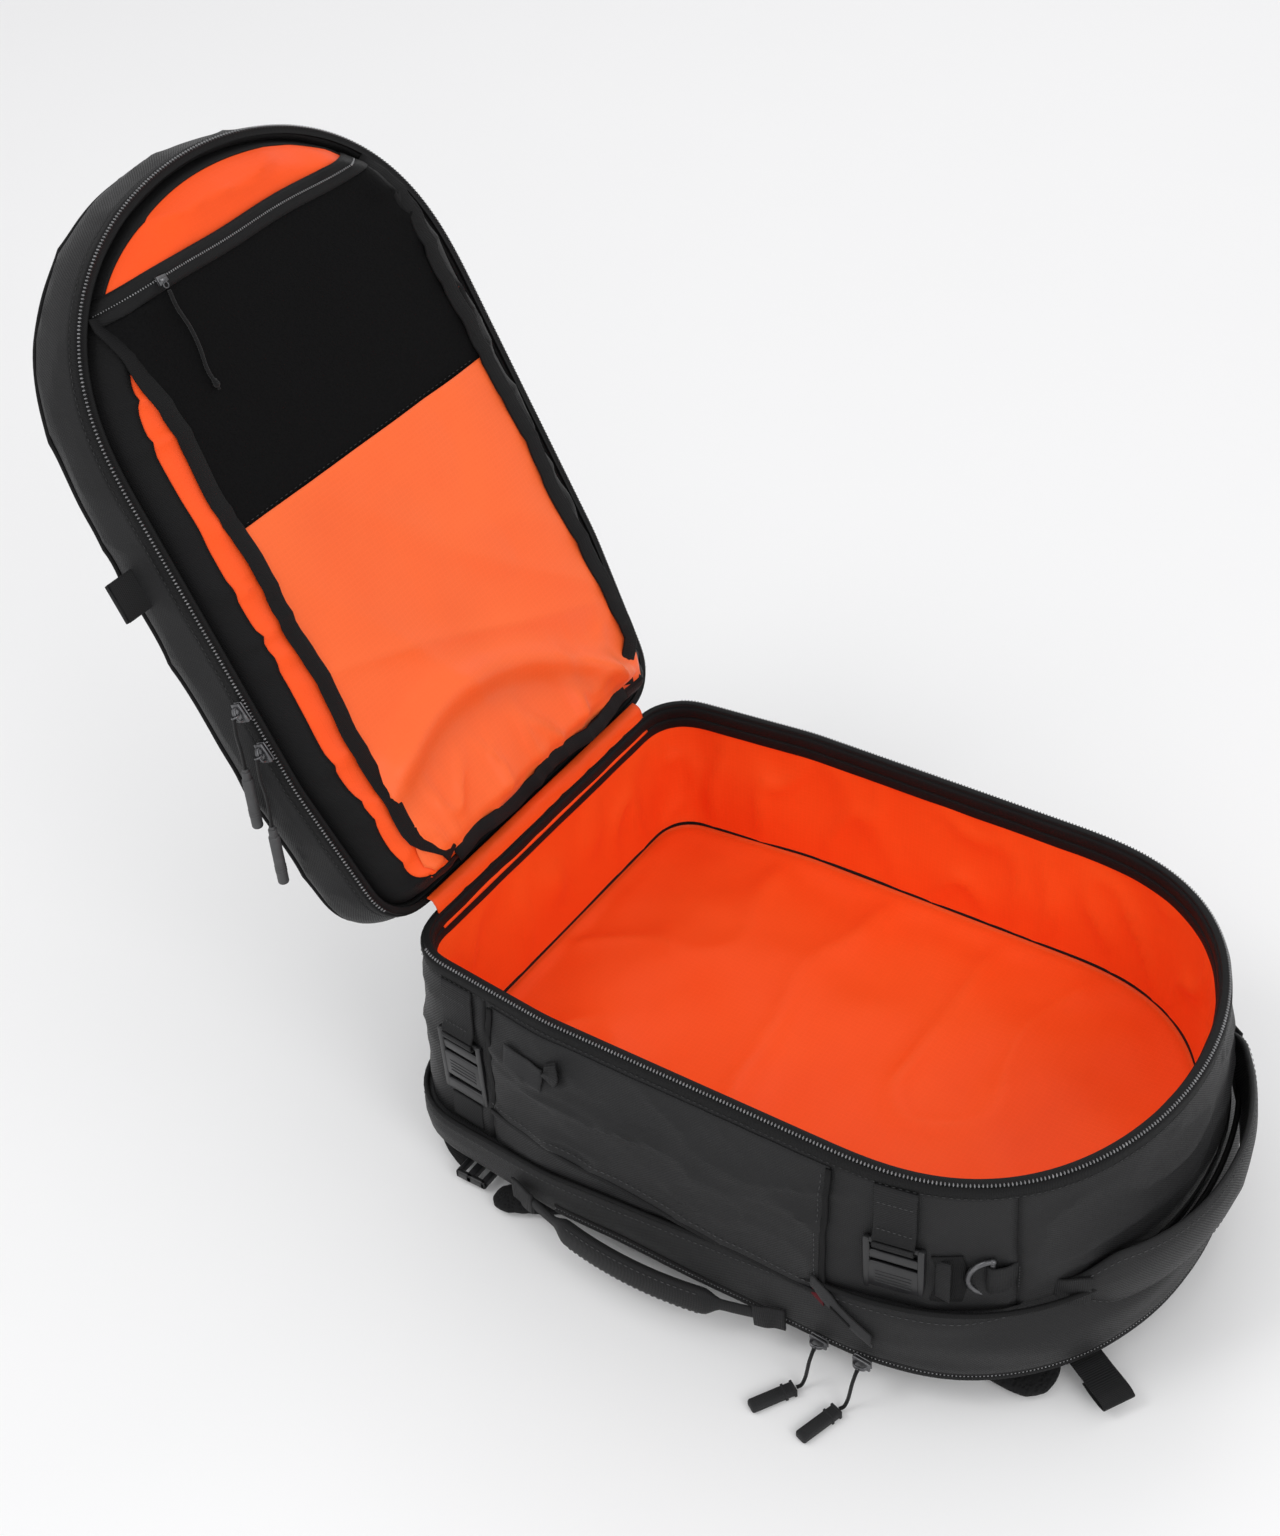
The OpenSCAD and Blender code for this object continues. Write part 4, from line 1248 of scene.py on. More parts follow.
class BACKPACK_OT_straps(bpy.types.Operator):
    """Compression webbing, hook buckles, and the ring with its tab"""
    bl_idname = "backpack.straps"
    bl_label = "Compression straps"

    def execute(self, context):
        parts, rows = [], []
        for x in STRAP_X:
            for side in (-1, 1):
                out = wall_spot(x, 150 * MM, 0, side)[1]
                upper = [wall_spot(x, z * MM, lift * MM, side)[0] for z, lift in
                         ((188, 1.0), (180, 2.2), (172, 2.6), (164, 2.4), (156, 2.6),
                          (150, 3.4), (146, 5.4), (143.8, 6.6))]
                loop = [on_wall(x, 0, 0, side > 0) @ Vector((0, y * MM, z * MM)) for y, z in
                        ((-8.4, 142.6), (-8.9, 140), (-7.8, 137.2), (-5, 136.2), (-2.2, 137.2),
                         (-1.2, 140), (-2.0, 143.6), (-1.8, 150))]
                low = [wall_spot(x, z * MM, lift * MM, side)[0] for z, lift in
                       ((82, 2.0), (78, 1.6), (72, 1.4), (66, 1.4), (60, 1.2))]
                low = [p for p in low if p.z > layer_top(x) - 8 * MM] or low[:2]
                parts.append(ribbon(smooth_path(upper, 16), out, 28 * MM, 1.8 * MM))
                parts.append(ribbon(smooth_path(loop, 18), self.turning(loop), 27 * MM, 1.5 * MM))
                parts.append(ribbon(smooth_path(low, 10), out, 28 * MM, 1.7 * MM))
                frame_x = 11 * MM
                for z in (176 * MM, 152.5 * MM):
                    a = wall_spot(x - frame_x, z, 4.3 * MM, side)[0]
                    b = wall_spot(x + frame_x, z, 4.3 * MM, side)[0]
                    rows.append(stitch_spots([a, b], out, 2.6 * MM, 0.9 * MM))
        bm = merged(*parts)
        piece("compression_straps", bm, "pack", "webbing", "compression_webbing", angle=180)
        seam("compression_strap_stitches", "pack", rows, (2.6, 0.6, 0.5))
        for name, x, side in (("near_bottom", STRAP_X[0], -1), ("near_top", STRAP_X[1], -1),
                              ("far_bottom", STRAP_X[0], 1), ("far_top", STRAP_X[1], 1)):
            piece("hook_buckle_" + name, buckle_mesh(x, side), home("buckle_" + name), "black_acetal",
                  "buckle_" + name, angle=40)
        self.ring()
        return {"FINISHED"}

    def turning(self, loop):
        line = smooth_path(loop, 18)
        middle = sum(loop, Vector()) / len(loop)

        def out(k):
            return (line[k] - middle).normalized()
        return out

    def ring(self):
        z, off = 120 * MM, 4.6 * MM
        place = on_wall(RING_X, z, off)
        wire, radius = 1.9 * MM, 15 * MM
        bm = bmesh.new()
        circle = bmesh.ops.create_circle(bm, segments=14, radius=wire, cap_ends=False,
                                         matrix=Matrix.Translation((0, 0, radius))
                                         @ Matrix.Rotation(math.pi / 2, 4, "Y"))
        bmesh.ops.spin(bm, geom=circle["verts"] + list({e for v in circle["verts"] for e in v.link_edges}),
                             cent=(0, 0, 0), axis=(0, 1, 0), dvec=(0, 0, 0), angle=-math.pi, steps=28,
                             use_merge=False, use_normal_flip=False, use_duplicate=False)
        close_ends(bm)
        face_out(bm)
        rod(bm, (0, 0, -radius - wire * 0.4), (0, 0, radius + wire * 0.4), wire, 16, 0.8 * MM)
        for end in (-1, 1):
            bmesh.ops.create_uvsphere(bm, u_segments=16, v_segments=10, radius=wire * 1.18,
                                      matrix=Matrix.Translation((0, 0, end * radius)))
        block_map(bm)
        piece("strap_ring", bm, home("ring"), "dark_metal", "ring", matrix=place, angle=60)
        tab = []
        path = [place @ Vector((x * MM, (y - 0.0) * MM * 1.0, 0)) for x, y in
                [(14, 3.8), (9, 2.6), (4, 2.6), (0, 2.9), (-2.6, 1.4), (-2.9, -1.2),
                 (-0.8, -3.0), (3, -2.9), (9, -1.6), (15, 1.8), (20, 3.2)]]
        line = smooth_path(path, 30)
        centre = place @ Vector((2 * MM, 0, 0))
        bm = ribbon(line, lambda k: (line[k] - centre).normalized(), 23 * MM, 1.5 * MM)
        tab.append(bm)

        def spot(i, j):
            s, t = i / 10, j / 14
            x = RING_X + (-32 + 17 * s + 3 * math.sin(math.pi * t)) * MM
            return wall_spot(x, z + (t - 0.5) * 37 * MM,
                             (1.0 + 1.8 * math.sin(math.pi * t) * math.sin(math.pi * s)) * MM)[0]
        piece("ring_webbing_tab", merged(*tab), "pack", "webbing", "ring_tab", angle=180)
        patch("lash_patch", "pack", "binding_tape", (), 10, 14, spot, (0.017, 0.037), 1.4)
        loop = [wall_spot(RING_X - 25 * MM, z + (15 - 30 * n / 16) * MM,
                          (2.0 + 4.6 * math.sin(math.pi * n / 16) ** 0.7) * MM)[0]
                for n in range(17)]
        piece("lash_loop", ribbon(loop, (0, -1, 0), 10 * MM, 1.5 * MM), "pack", "webbing", angle=180)
        rows = [stitch_spots([place @ Vector((16.5 * MM, -0.6 * MM, (n - 5) * 2 * MM)) for n in range(11)],
                             place.to_3x3() @ Vector((0, -1, 0)), 2.2 * MM, 0.8 * MM)]
        seam("ring_tab_stitches", "pack", rows, (2.2, 0.6, 0.5))


# ---- handles ----


class BACKPACK_OT_handles(bpy.types.Operator):
    """Top handle band and padded side handle"""
    bl_idname = "backpack.handles"
    bl_label = "Handles"

    def execute(self, context):
        self.top()
        self.side()
        return {"FINISHED"}

    def top(self):
        centre, radius = Vector((122 * MM, 0, 104 * MM)), 158 * MM

        def spot(turn, across, lift):
            """A point of the band at that angle, from -1 to 1 across it."""
            a = math.radians(turn)
            wide = 25 * MM * (1 - 0.68 * ease(36, 50, abs(turn)))
            tilt = 5 * MM * across * math.cos(a)
            r = radius + lift + 3 * MM * (1 - across ** 2) * (1 - ease(40, 50, abs(turn)))
            rise = 14 * MM * ease(-50, 50, turn) - 4 * MM * math.cos(a * 1.5)
            sag = creases((turn / 40, across * 0.4, 0), 1.0, 1.2, 7.0) * MM
            return centre + Vector((math.cos(a) * (r + sag + tilt * 0.3), math.sin(a) * (r + sag),
                                    across * wide + rise - 4 * MM))

        shape = [(-1, 0), (-0.97, 1.4), (-0.9, 2.2), (-0.6, 3.2), (-0.2, 3.7), (0.2, 3.7),
                 (0.6, 3.2), (0.9, 2.2), (0.97, 1.4),
                 (1, 0), (0.95, -1.6), (0.6, -2.6), (0, -2.9), (-0.6, -2.6), (-0.95, -1.6)]

        def place(i, j):
            turn = -50 + 100 * i / 72
            across, lift = shape[j % len(shape)]
            return spot(turn, across, lift * MM * (1 - 0.45 * ease(38, 50, abs(turn))))

        bm = lattice(72, len(shape), place, (0.27, 0.13), wrap=True)
        close_ends(bm)
        face_out(bm)
        # Painted highlight: the band's upper edge is made lighter.
        mark(bm, "wear", lambda co: 0.3 * ease(0.118, 0.128, co.z))
        piece("top_handle_band", bm, home("top_handle"), "ballistic_nylon", "top_handle", angle=180)
        rows = []
        for across in (-0.82, 0.82):
            line = [spot(-46 + 92 * n / 60, across, 2.9 * MM) for n in range(61)]
            rows.append(stitch_spots(line, lambda k: Vector((math.cos(math.radians(-46 + 92 * k / 60)),
                                                             math.sin(math.radians(-46 + 92 * k / 60)), 0))))
        seam("top_handle_stitches", home("top_handle"), rows)
        ends = []
        for side in (-1, 1):
            line = [spot(side * turn, 0, 3.4 * MM) for turn in (44, 47, 50, 52.5, 54.5)]
            line[-1] = line[-1] - Vector((math.cos(math.radians(54)), side * math.sin(math.radians(54)),
                                          0)) * 10 * MM
            line[-2] = line[-2] - Vector((math.cos(math.radians(52)), side * math.sin(math.radians(52)),
                                          0)) * 3 * MM
            ends.append(ribbon(smooth_path(line, 12),
                               Vector((math.cos(math.radians(50)), side * math.sin(math.radians(50)), 0)),
                               24 * MM, 2.0 * MM))
        for side in (-1, 1):
            x = (-47 + side * 102.8) * MM
            y = -HALF_W - LAYER_OUT
            line = [Vector((x - side * 13 * MM, y - 7.4 * MM, 35 * MM)),
                    Vector((x - side * 7 * MM, y - 6.4 * MM, 35.4 * MM)),
                    Vector((x - side * 2 * MM, y - 4.6 * MM, 36 * MM)),
                    Vector((x + side * 2 * MM, y - 2.9 * MM, 36 * MM)),
                    Vector((x + side * 8 * MM, y - 1.6 * MM, 36 * MM))]
            ends.append(ribbon(smooth_path(line, 12), (0, -1, 0), 20 * MM, 2.2 * MM))
        piece("handle_end_tabs", merged(*ends), "pack", "webbing", "handle_anchors", angle=180)

    def side(self):
        middle, radius = Vector((-47 * MM, (-210 + 300) * MM, 36 * MM)), 300 * MM

        def place(i, j):
            turn = -17.6 + 35.2 * i / 60
            full = 1 - ease(10.6, 13.2, abs(turn))
            around = 2 * math.pi * j / 20
            tall = (5 + 6.6 * full) * MM
            deep = (2.0 + 3.4 * full) * MM
            c, s = math.cos(around), math.sin(around)
            r = radius + deep * abs(c) ** 0.85 * (1 if c > 0 else -1)
            a = math.radians(turn)
            z = tall * abs(s) ** 0.75 * (1 if s > 0 else -1)
            return middle + Vector((math.sin(a) * r, -math.cos(a) * r, z - 1.5 * MM * full))

        bm = lattice(60, 20, place, (0.21, 0.06), wrap=True)
        close_ends(bm)
        face_out(bm)
        made = piece("side_handle_grip", bm, home("side_handle"), "webbing", "side_handle", angle=180)
        rows = []
        for z, r in ((8.4, 3.9), (-11.6, 3.6)):
            line = []
            for n in range(41):
                a = math.radians(-10 + 20 * n / 40)
                line.append(middle + Vector((math.sin(a) * (radius + r * MM),
                                             -math.cos(a) * (radius + r * MM), z * MM)))
            rows.append(stitch_spots(line, (0, -1, 0.5)))
        seam("side_handle_stitches", home("side_handle"), rows)


# ---- sliders ----


def slider_mesh(matrix, scale=1.0):
    """A zip slider along X that faces -Y: tapered plates, a divider and a bail."""
    bm = bmesh.new()
    for y0, y1, w in ((-2.9, -1.3, 1.0), (-0.4, 0.9, 0.94)):
        made = block(bm, (-6.4 * MM, y0 * MM, -5 * w * MM), (6.4 * MM, y1 * MM, 5 * w * MM),
                     bevel=0.5 * MM, segments=2)
        for v in made:
            if v.is_valid and v.co.x > 1.5 * MM:
                v.co.z *= 0.72
    block(bm, (-6.2 * MM, -1.5 * MM, -1.1 * MM), (-2.5 * MM, -0.2 * MM, 1.1 * MM), bevel=0.3 * MM)
    arch = smooth_path([Vector(p) * MM for p in ((-4.6, -2.6, 0), (-4.2, -5.0, 0), (-2.0, -6.2, 0),
                                                 (1.4, -6.0, 0), (3.8, -4.8, 0), (4.4, -2.6, 0))], 16)
    parts = [bm, ribbon(arch, lambda k: (arch[k] - Vector((0, -2 * MM, 0))).normalized(), 2.9 * MM, 1.3 * MM)]
    whole = merged(*parts)
    bmesh.ops.scale(whole, vec=(scale, scale, scale), verts=whole.verts)
    block_map(whole)
    bmesh.ops.transform(whole, matrix=matrix, verts=whole.verts)
    return whole


def eye_ring(centre, radius, wire, matrix):
    """A small wire ring."""
    bm = bmesh.new()
    across = Matrix.Translation((radius, 0, 0)) @ Matrix.Rotation(math.pi / 2, 4, "X")
    circle = bmesh.ops.create_circle(bm, segments=10, radius=wire, cap_ends=False, matrix=across)
    bmesh.ops.spin(bm, geom=circle["verts"] + list({e for v in circle["verts"] for e in v.link_edges}),
                   cent=(0, 0, 0),
                   axis=(0, 0, 1), dvec=(0, 0, 0), angle=2 * math.pi, steps=24, use_merge=True,
                   use_normal_flip=False, use_duplicate=False)
    face_out(bm)
    block_map(bm)
    bmesh.ops.transform(bm, matrix=Matrix.Translation(centre) @ matrix, verts=bm.verts)
    return bm


class BACKPACK_OT_sliders(bpy.types.Operator):
    """Zip sliders of every zip"""
    bl_idname = "backpack.sliders"
    bl_label = "Zip sliders"

    def execute(self, context):
        turn_up = Matrix.Rotation(math.pi / 2, 4, "Y")
        for key in "ab":
            at = Vector((LAPTOP_X[key], -HALF_W - LAYER_OUT - 2 * MM, 34 * MM))
            slider = slider_mesh(Matrix.Translation(at))
            ring = eye_ring(at + Vector((0, -6.6, -1.4)) * MM, 2.2 * MM, 0.6 * MM, turn_up)
            piece("laptop_zip_slider_" + key, merged(slider, ring), home("laptop_slider_" + key),
                  "dark_metal",
                  "laptop_slider_" + key, angle=45)
            at = Vector((MAIN_X[key], -HALF_W - 3.4 * MM, 2 * MM))
            slider = slider_mesh(Matrix.Translation(at), 1.08)
            ring = eye_ring(at + Vector((0, -6.9, -0.6)) * MM, 2.6 * MM, 0.7 * MM, turn_up)
            piece("main_zip_slider_" + key, merged(slider, ring), home("main_slider_" + key), "dark_metal",
                         "main_slider_" + key, matrix=LID, angle=45)
        lo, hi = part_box("end_slider")
        at = Vector((hi.x - 0.3 * MM, (lo.y + hi.y) / 2, (lo.z + hi.z) / 2))
        facing = Matrix.Rotation(math.radians(-90), 4, "Z")
        piece("end_zip_slider", slider_mesh(Matrix.Translation(at) @ facing, 0.9),
              home("end_slider"), "dark_metal",
              "end_slider", angle=45)
        at = Vector((197, -88, -22 - 2.6)) * MM
        facing = Matrix.Rotation(math.radians(90), 4, "Z") @ Matrix.Rotation(math.radians(90), 4, "X")
        slider = slider_mesh(Matrix.Translation(at) @ facing, 0.62)
        ring = eye_ring(at + Vector((-4.0, 0, -1.8)) * MM, 1.9 * MM, 0.5 * MM, Matrix.Identity(4))
        piece("pocket_zip_slider", merged(slider, ring), home("mesh_slider"), "dark_metal",
              "mesh_slider", matrix=LID, angle=45)
        self.end_zip()
        return {"FINISHED"}

    def end_zip(self):
        lo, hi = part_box("end_zip")
        z = (lo.z + hi.z) / 2
        parts, spots = [], []
        for sign in (-1, 1):
            def spot(i, j, sign=sign):
                y = lo.y + (hi.y - lo.y) * i / 60
                return Vector((hi.x - (1.4 + 0.5 * (j == 1)) * MM, y, z + sign * (0.4 + 4.0 * j / 3) * MM))
            bm = lattice(60, 3, spot, (0.25, 0.004))
            face_out(bm)
            parts.append(bm)
        made = piece("end_zip_tape", merged(*parts), "pack", "zip_tape", "end_zip", angle=180)
        thicken(made, 1.6 * MM, 0)
        line = [Vector((hi.x - 2.1 * MM, lo.y + (hi.y - lo.y) * n / 60, z)) for n in range(61)]
        spots = stitch_spots(line, (-1, 0, 0), 1.0 * MM, 1.3 * MM)
        piece("end_zip_coil", tiny_set(mitred_frames(spots), (1.4 * MM, 1.6 * MM, 1.3 * MM)),
              "pack", "zip_coil", angle=180)


# ---- lid ----

LID_EDGE = -8.3 * MM


def rimward(x, y):
    """0 at the lid's binding and 1 on the line down its middle."""
    side = 1 - abs(y) / (half_width(x) + LID_EDGE)
    if x > TOP_END - DOME_L:
        ahead = (x - TOP_END + DOME_L) / (DOME_L + LID_EDGE)
        side = 1 - (ahead ** DOME_POWER + (y / (HALF_W + LID_EDGE)) ** 2) ** 0.5
    corner = Vector((HINGE_END + CORNER_R - x, abs(y) - HINGE_W / 2 + CORNER_R))
    if corner.x > 0 and corner.y > 0:
        side = min(side, (CORNER_R + LID_EDGE - corner.length) / (120 * MM))
    hinge_end = (x - HINGE_END + LID_EDGE) / (BOTTOM_SPINE - HINGE_END + LID_EDGE)
    return max(0.0, min(side, hinge_end))


def lining_z(x, y):
    """Height of the lid's lining: it climbs from the binding to a padded, creased middle."""
    share = rimward(x, y)
    climb = math.sin(math.pi / 2 * min(1.0, share / 0.22)) ** 0.8
    fold = look().lining_folds / MM
    towards = ease(60 * MM, -230 * MM, x)
    broad = creases((x + y * 0.5, y * 0.35, 0), 95 * MM, fold * 1.4, 4.0) * (0.06 + 0.94 * towards)
    fan = creases((x * 0.35, y * 1.5, 0), 44 * MM, fold * 0.6, 7.0) * ease(-130 * MM, -225 * MM, x)
    side = creases((x * 1.1, y * 0.6, 0), 36 * MM, fold * 1.1,
                   3.0) * math.sin(math.pi * min(1.0, share / 0.24))
    sag = wave((x, y, 0), 120 * MM, 3.0, 2.0) * (0.2 + 0.8 * towards)
    deep = 34 - 1.8 * ease(20 * MM, 45 * MM, x)
    return (12 - deep * climb - (broad + fan + sag) * ease(0.04, 0.3, share) - side) * MM


def lid_panel(name, slot, nodes, low, high, edge, lift, rows, columns, thick=1.0, shade=None, wear=None):
    """Cloth over the lid's lining from low to high, reaching edge(x) on each side."""
    def spot(i, j):
        x = low + (high - low) * i / rows
        y = edge(x) * (2 * j / columns - 1)
        return Vector((x, y, lining_z(x, y) - lift(x, y)))
    bm = lattice(rows, columns, spot, (high - low, 0.25), turned=True)
    if shade:
        mark(bm, "shade", shade)
    if wear:
        mark(bm, "wear", wear)
    made = piece(name, bm, "lid", slot, nodes, matrix=LID, angle=180)
    thicken(made, thick * MM)
    return made


def lining_spot(x, y, lift):
    return Vector((x, y, lining_z(x, y) - lift))


class BACKPACK_OT_lid_shell(bpy.types.Operator):
    """Lid's outer cloth, its binding, zip half and side tabs"""
    bl_idname = "backpack.lid_shell"
    bl_label = "Lid shell"

    def execute(self, context):
        gusset = [(-0.6, 11.5), (0.2, 15), (1.8, 20), (3.4, 26), (4.4, 32), (4.4, 38), (3.0, 43), (0.6, 46.5)]
        front = [(-2.4, 49), (-6, 51), (-11, 52.4)]

        def rows(shape, seed):
            def row(off, z):
                def at(k):
                    x, y = RIM[k % ROUND][0]
                    fold = wave((x, y, z * MM * 2), 48 * MM, 1.4, seed)
                    fold += creases((x, y, z * MM * 2.4), 60 * MM, 1.6, seed + 3)
                    return (off + fold * ease(12, 20, z)) * MM, z * MM
                return at
            return [row(off, z) for off, z in shape]

        bm = ring_rows(rows(gusset, 1.0), uv_height=0.04)
        mark(bm, "shade", lambda co: 0.6 * ease(44 * MM, 46.5 * MM, co.z))
        made = piece("lid_gusset_cloth", bm, "lid", "ballistic_nylon", "lid_gusset", matrix=LID, angle=180)
        thicken(made, 2.0 * MM)
        edge = rows(gusset[-1:] + front, 1.0)

        def place(i, j):
            if j < len(edge):
                return rim_point(i, *edge[j](i))
            share = ((j - len(edge) + 1) / 24)
            point = spine_point(i, share, -11 * MM, 52.4 * MM)
            crown = 5.5 * math.sin(math.pi / 2 * min(1, share * 1.3))
            crown += creases(point, 90 * MM, 2.0, 6.0) * ease(0.05, 0.3, share)
            groove = 2.2 * math.exp(-((share - 0.42) / 0.012) ** 2)
            seam_line = math.exp(-((point.x - 96 * MM) / (2.4 * MM)) ** 2)
            groove += 2.0 * seam_line * ease(0.1, 0.2, share)
            return point + Vector((0, 0, (crown - groove) * MM))

        bm = lattice(ROUND, len(edge) + 23, place, (RIM_ROUND, 0.2), wrap=True)
        block_map(bm)
        made = piece("lid_front_cloth", bm, "lid", "ballistic_nylon", "lid_front", matrix=LID, angle=180)
        thicken(made, 2.0 * MM)
        turns = [math.radians(45 * n) for n in range(9)]
        piping = [lambda k, t=t: (edge[0](k)[0] + 1.9 * MM * math.cos(t) + 0.6 * MM,
                                  47.5 * MM + 1.9 * MM * math.sin(t)) for t in turns]
        bm = ring_rows(piping, uv_height=12 * MM)
        face_out(bm)
        piece("lid_piping", bm, "lid", "binding_tape", matrix=LID, angle=180)
        rows_out = binding_rows(0.6 * MM, -8.2 * MM, 2.4 * MM, 12.2 * MM, 0.6 * MM)
        bm = ring_rows(rows_out, uv_height=36 * MM)
        face_out(bm)
        piece("lid_binding_tape", bm, "lid", "binding_tape", "lid_binding", matrix=LID, angle=180)
        zip_half("lid_zip", "lid", "lid_zip", 2.6 * MM, 0.4 * MM, 1.2 * MM, LID)
        path = [rim_point(k, 0.9 * MM, 9.6 * MM) for k in range(ROUND + 1)]
        seam("lid_rim_stitches", "lid", [stitch_spots(path, outward, 3 * MM, 1.4 * MM)],
             (3.0, 0.55, 0.4), "binding_thread", LID)
        self.tabs()
        self.hinge()
        return {"FINISHED"}

    def tabs(self):
        parts = []
        for side in (-1, 1):
            line = [Vector((34, side * y, z)) * MM for y,
                    z in ((170, 30.6), (180, 31.6), (190, 32.2), (199.4, 31.8))]
            parts.append(ribbon(smooth_path(line, 14), (0, 0, 1), 28 * MM, 1.5 * MM))
            line = [Vector((34, side * y, z)) * MM for y,
                    z in ((170, 29.8), (180, 30.0), (190, 30.2), (199.0, 30.3))]
            parts.append(ribbon(smooth_path(line, 14), (0, 0, 1), 28 * MM, 1.4 * MM))
            line = [Vector((34, side * y, z)) * MM for y,
                    z in ((194.8, 32.6), (197.4, 33.2), (200, 32.2), (200.4, 31.0), (199, 30.0))]
            parts.append(ribbon(smooth_path(line, 10), (0, side, 0.6), 27.6 * MM, 1.0 * MM))
        piece("lid_webbing_tabs", merged(*parts), "lid", "webbing", "lid_tabs", matrix=LID, angle=180)

    def hinge(self):
        """Strips that join the lid's rim to the pack's, outside and inside."""
        for name, slot, half, path, swap in (
                ("hinge_outer_strip", "ballistic_nylon", 112,
                 [(-255.8, 183), (-259.4, 188), (-264.6, 191.6), (-271.2, 195)], 1),
                ("hinge_inner_strip", "orange_lining", 126,
                 [(-247.0, 187), (-249.6, 195), (-250.6, 202), (-253.6, 208), (-259, 209.6)], -1)):
            line = smooth_path([Vector((x, 0, z)) * MM for x, z in path], 19)
            wrinkle = 1.6 if swap < 0 else 0.8

            def spot(i, j, line=line, half=half, wrinkle=wrinkle):
                y = half * MM * (i / 60 * 2 - 1)
                free = math.sin(math.pi * j / 18)
                return line[j] + Vector((creases((y, j * 4 * MM, 0), 26 * MM, wrinkle,
                                                 2.0) * free * MM * -0.6, y,
                                         wave((y, 0, j * 2 * MM), 30 * MM, wrinkle, 5.0) * free * MM))
            bm = lattice(60, 18, spot, (half * 2 * MM, 0.03), turned=swap > 0)
            made = piece(name, bm, None, slot, angle=180)
            thicken(made, 1.2 * MM, 0)
            made.data = settle(made)
            made.modifiers.clear()
            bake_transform(made)


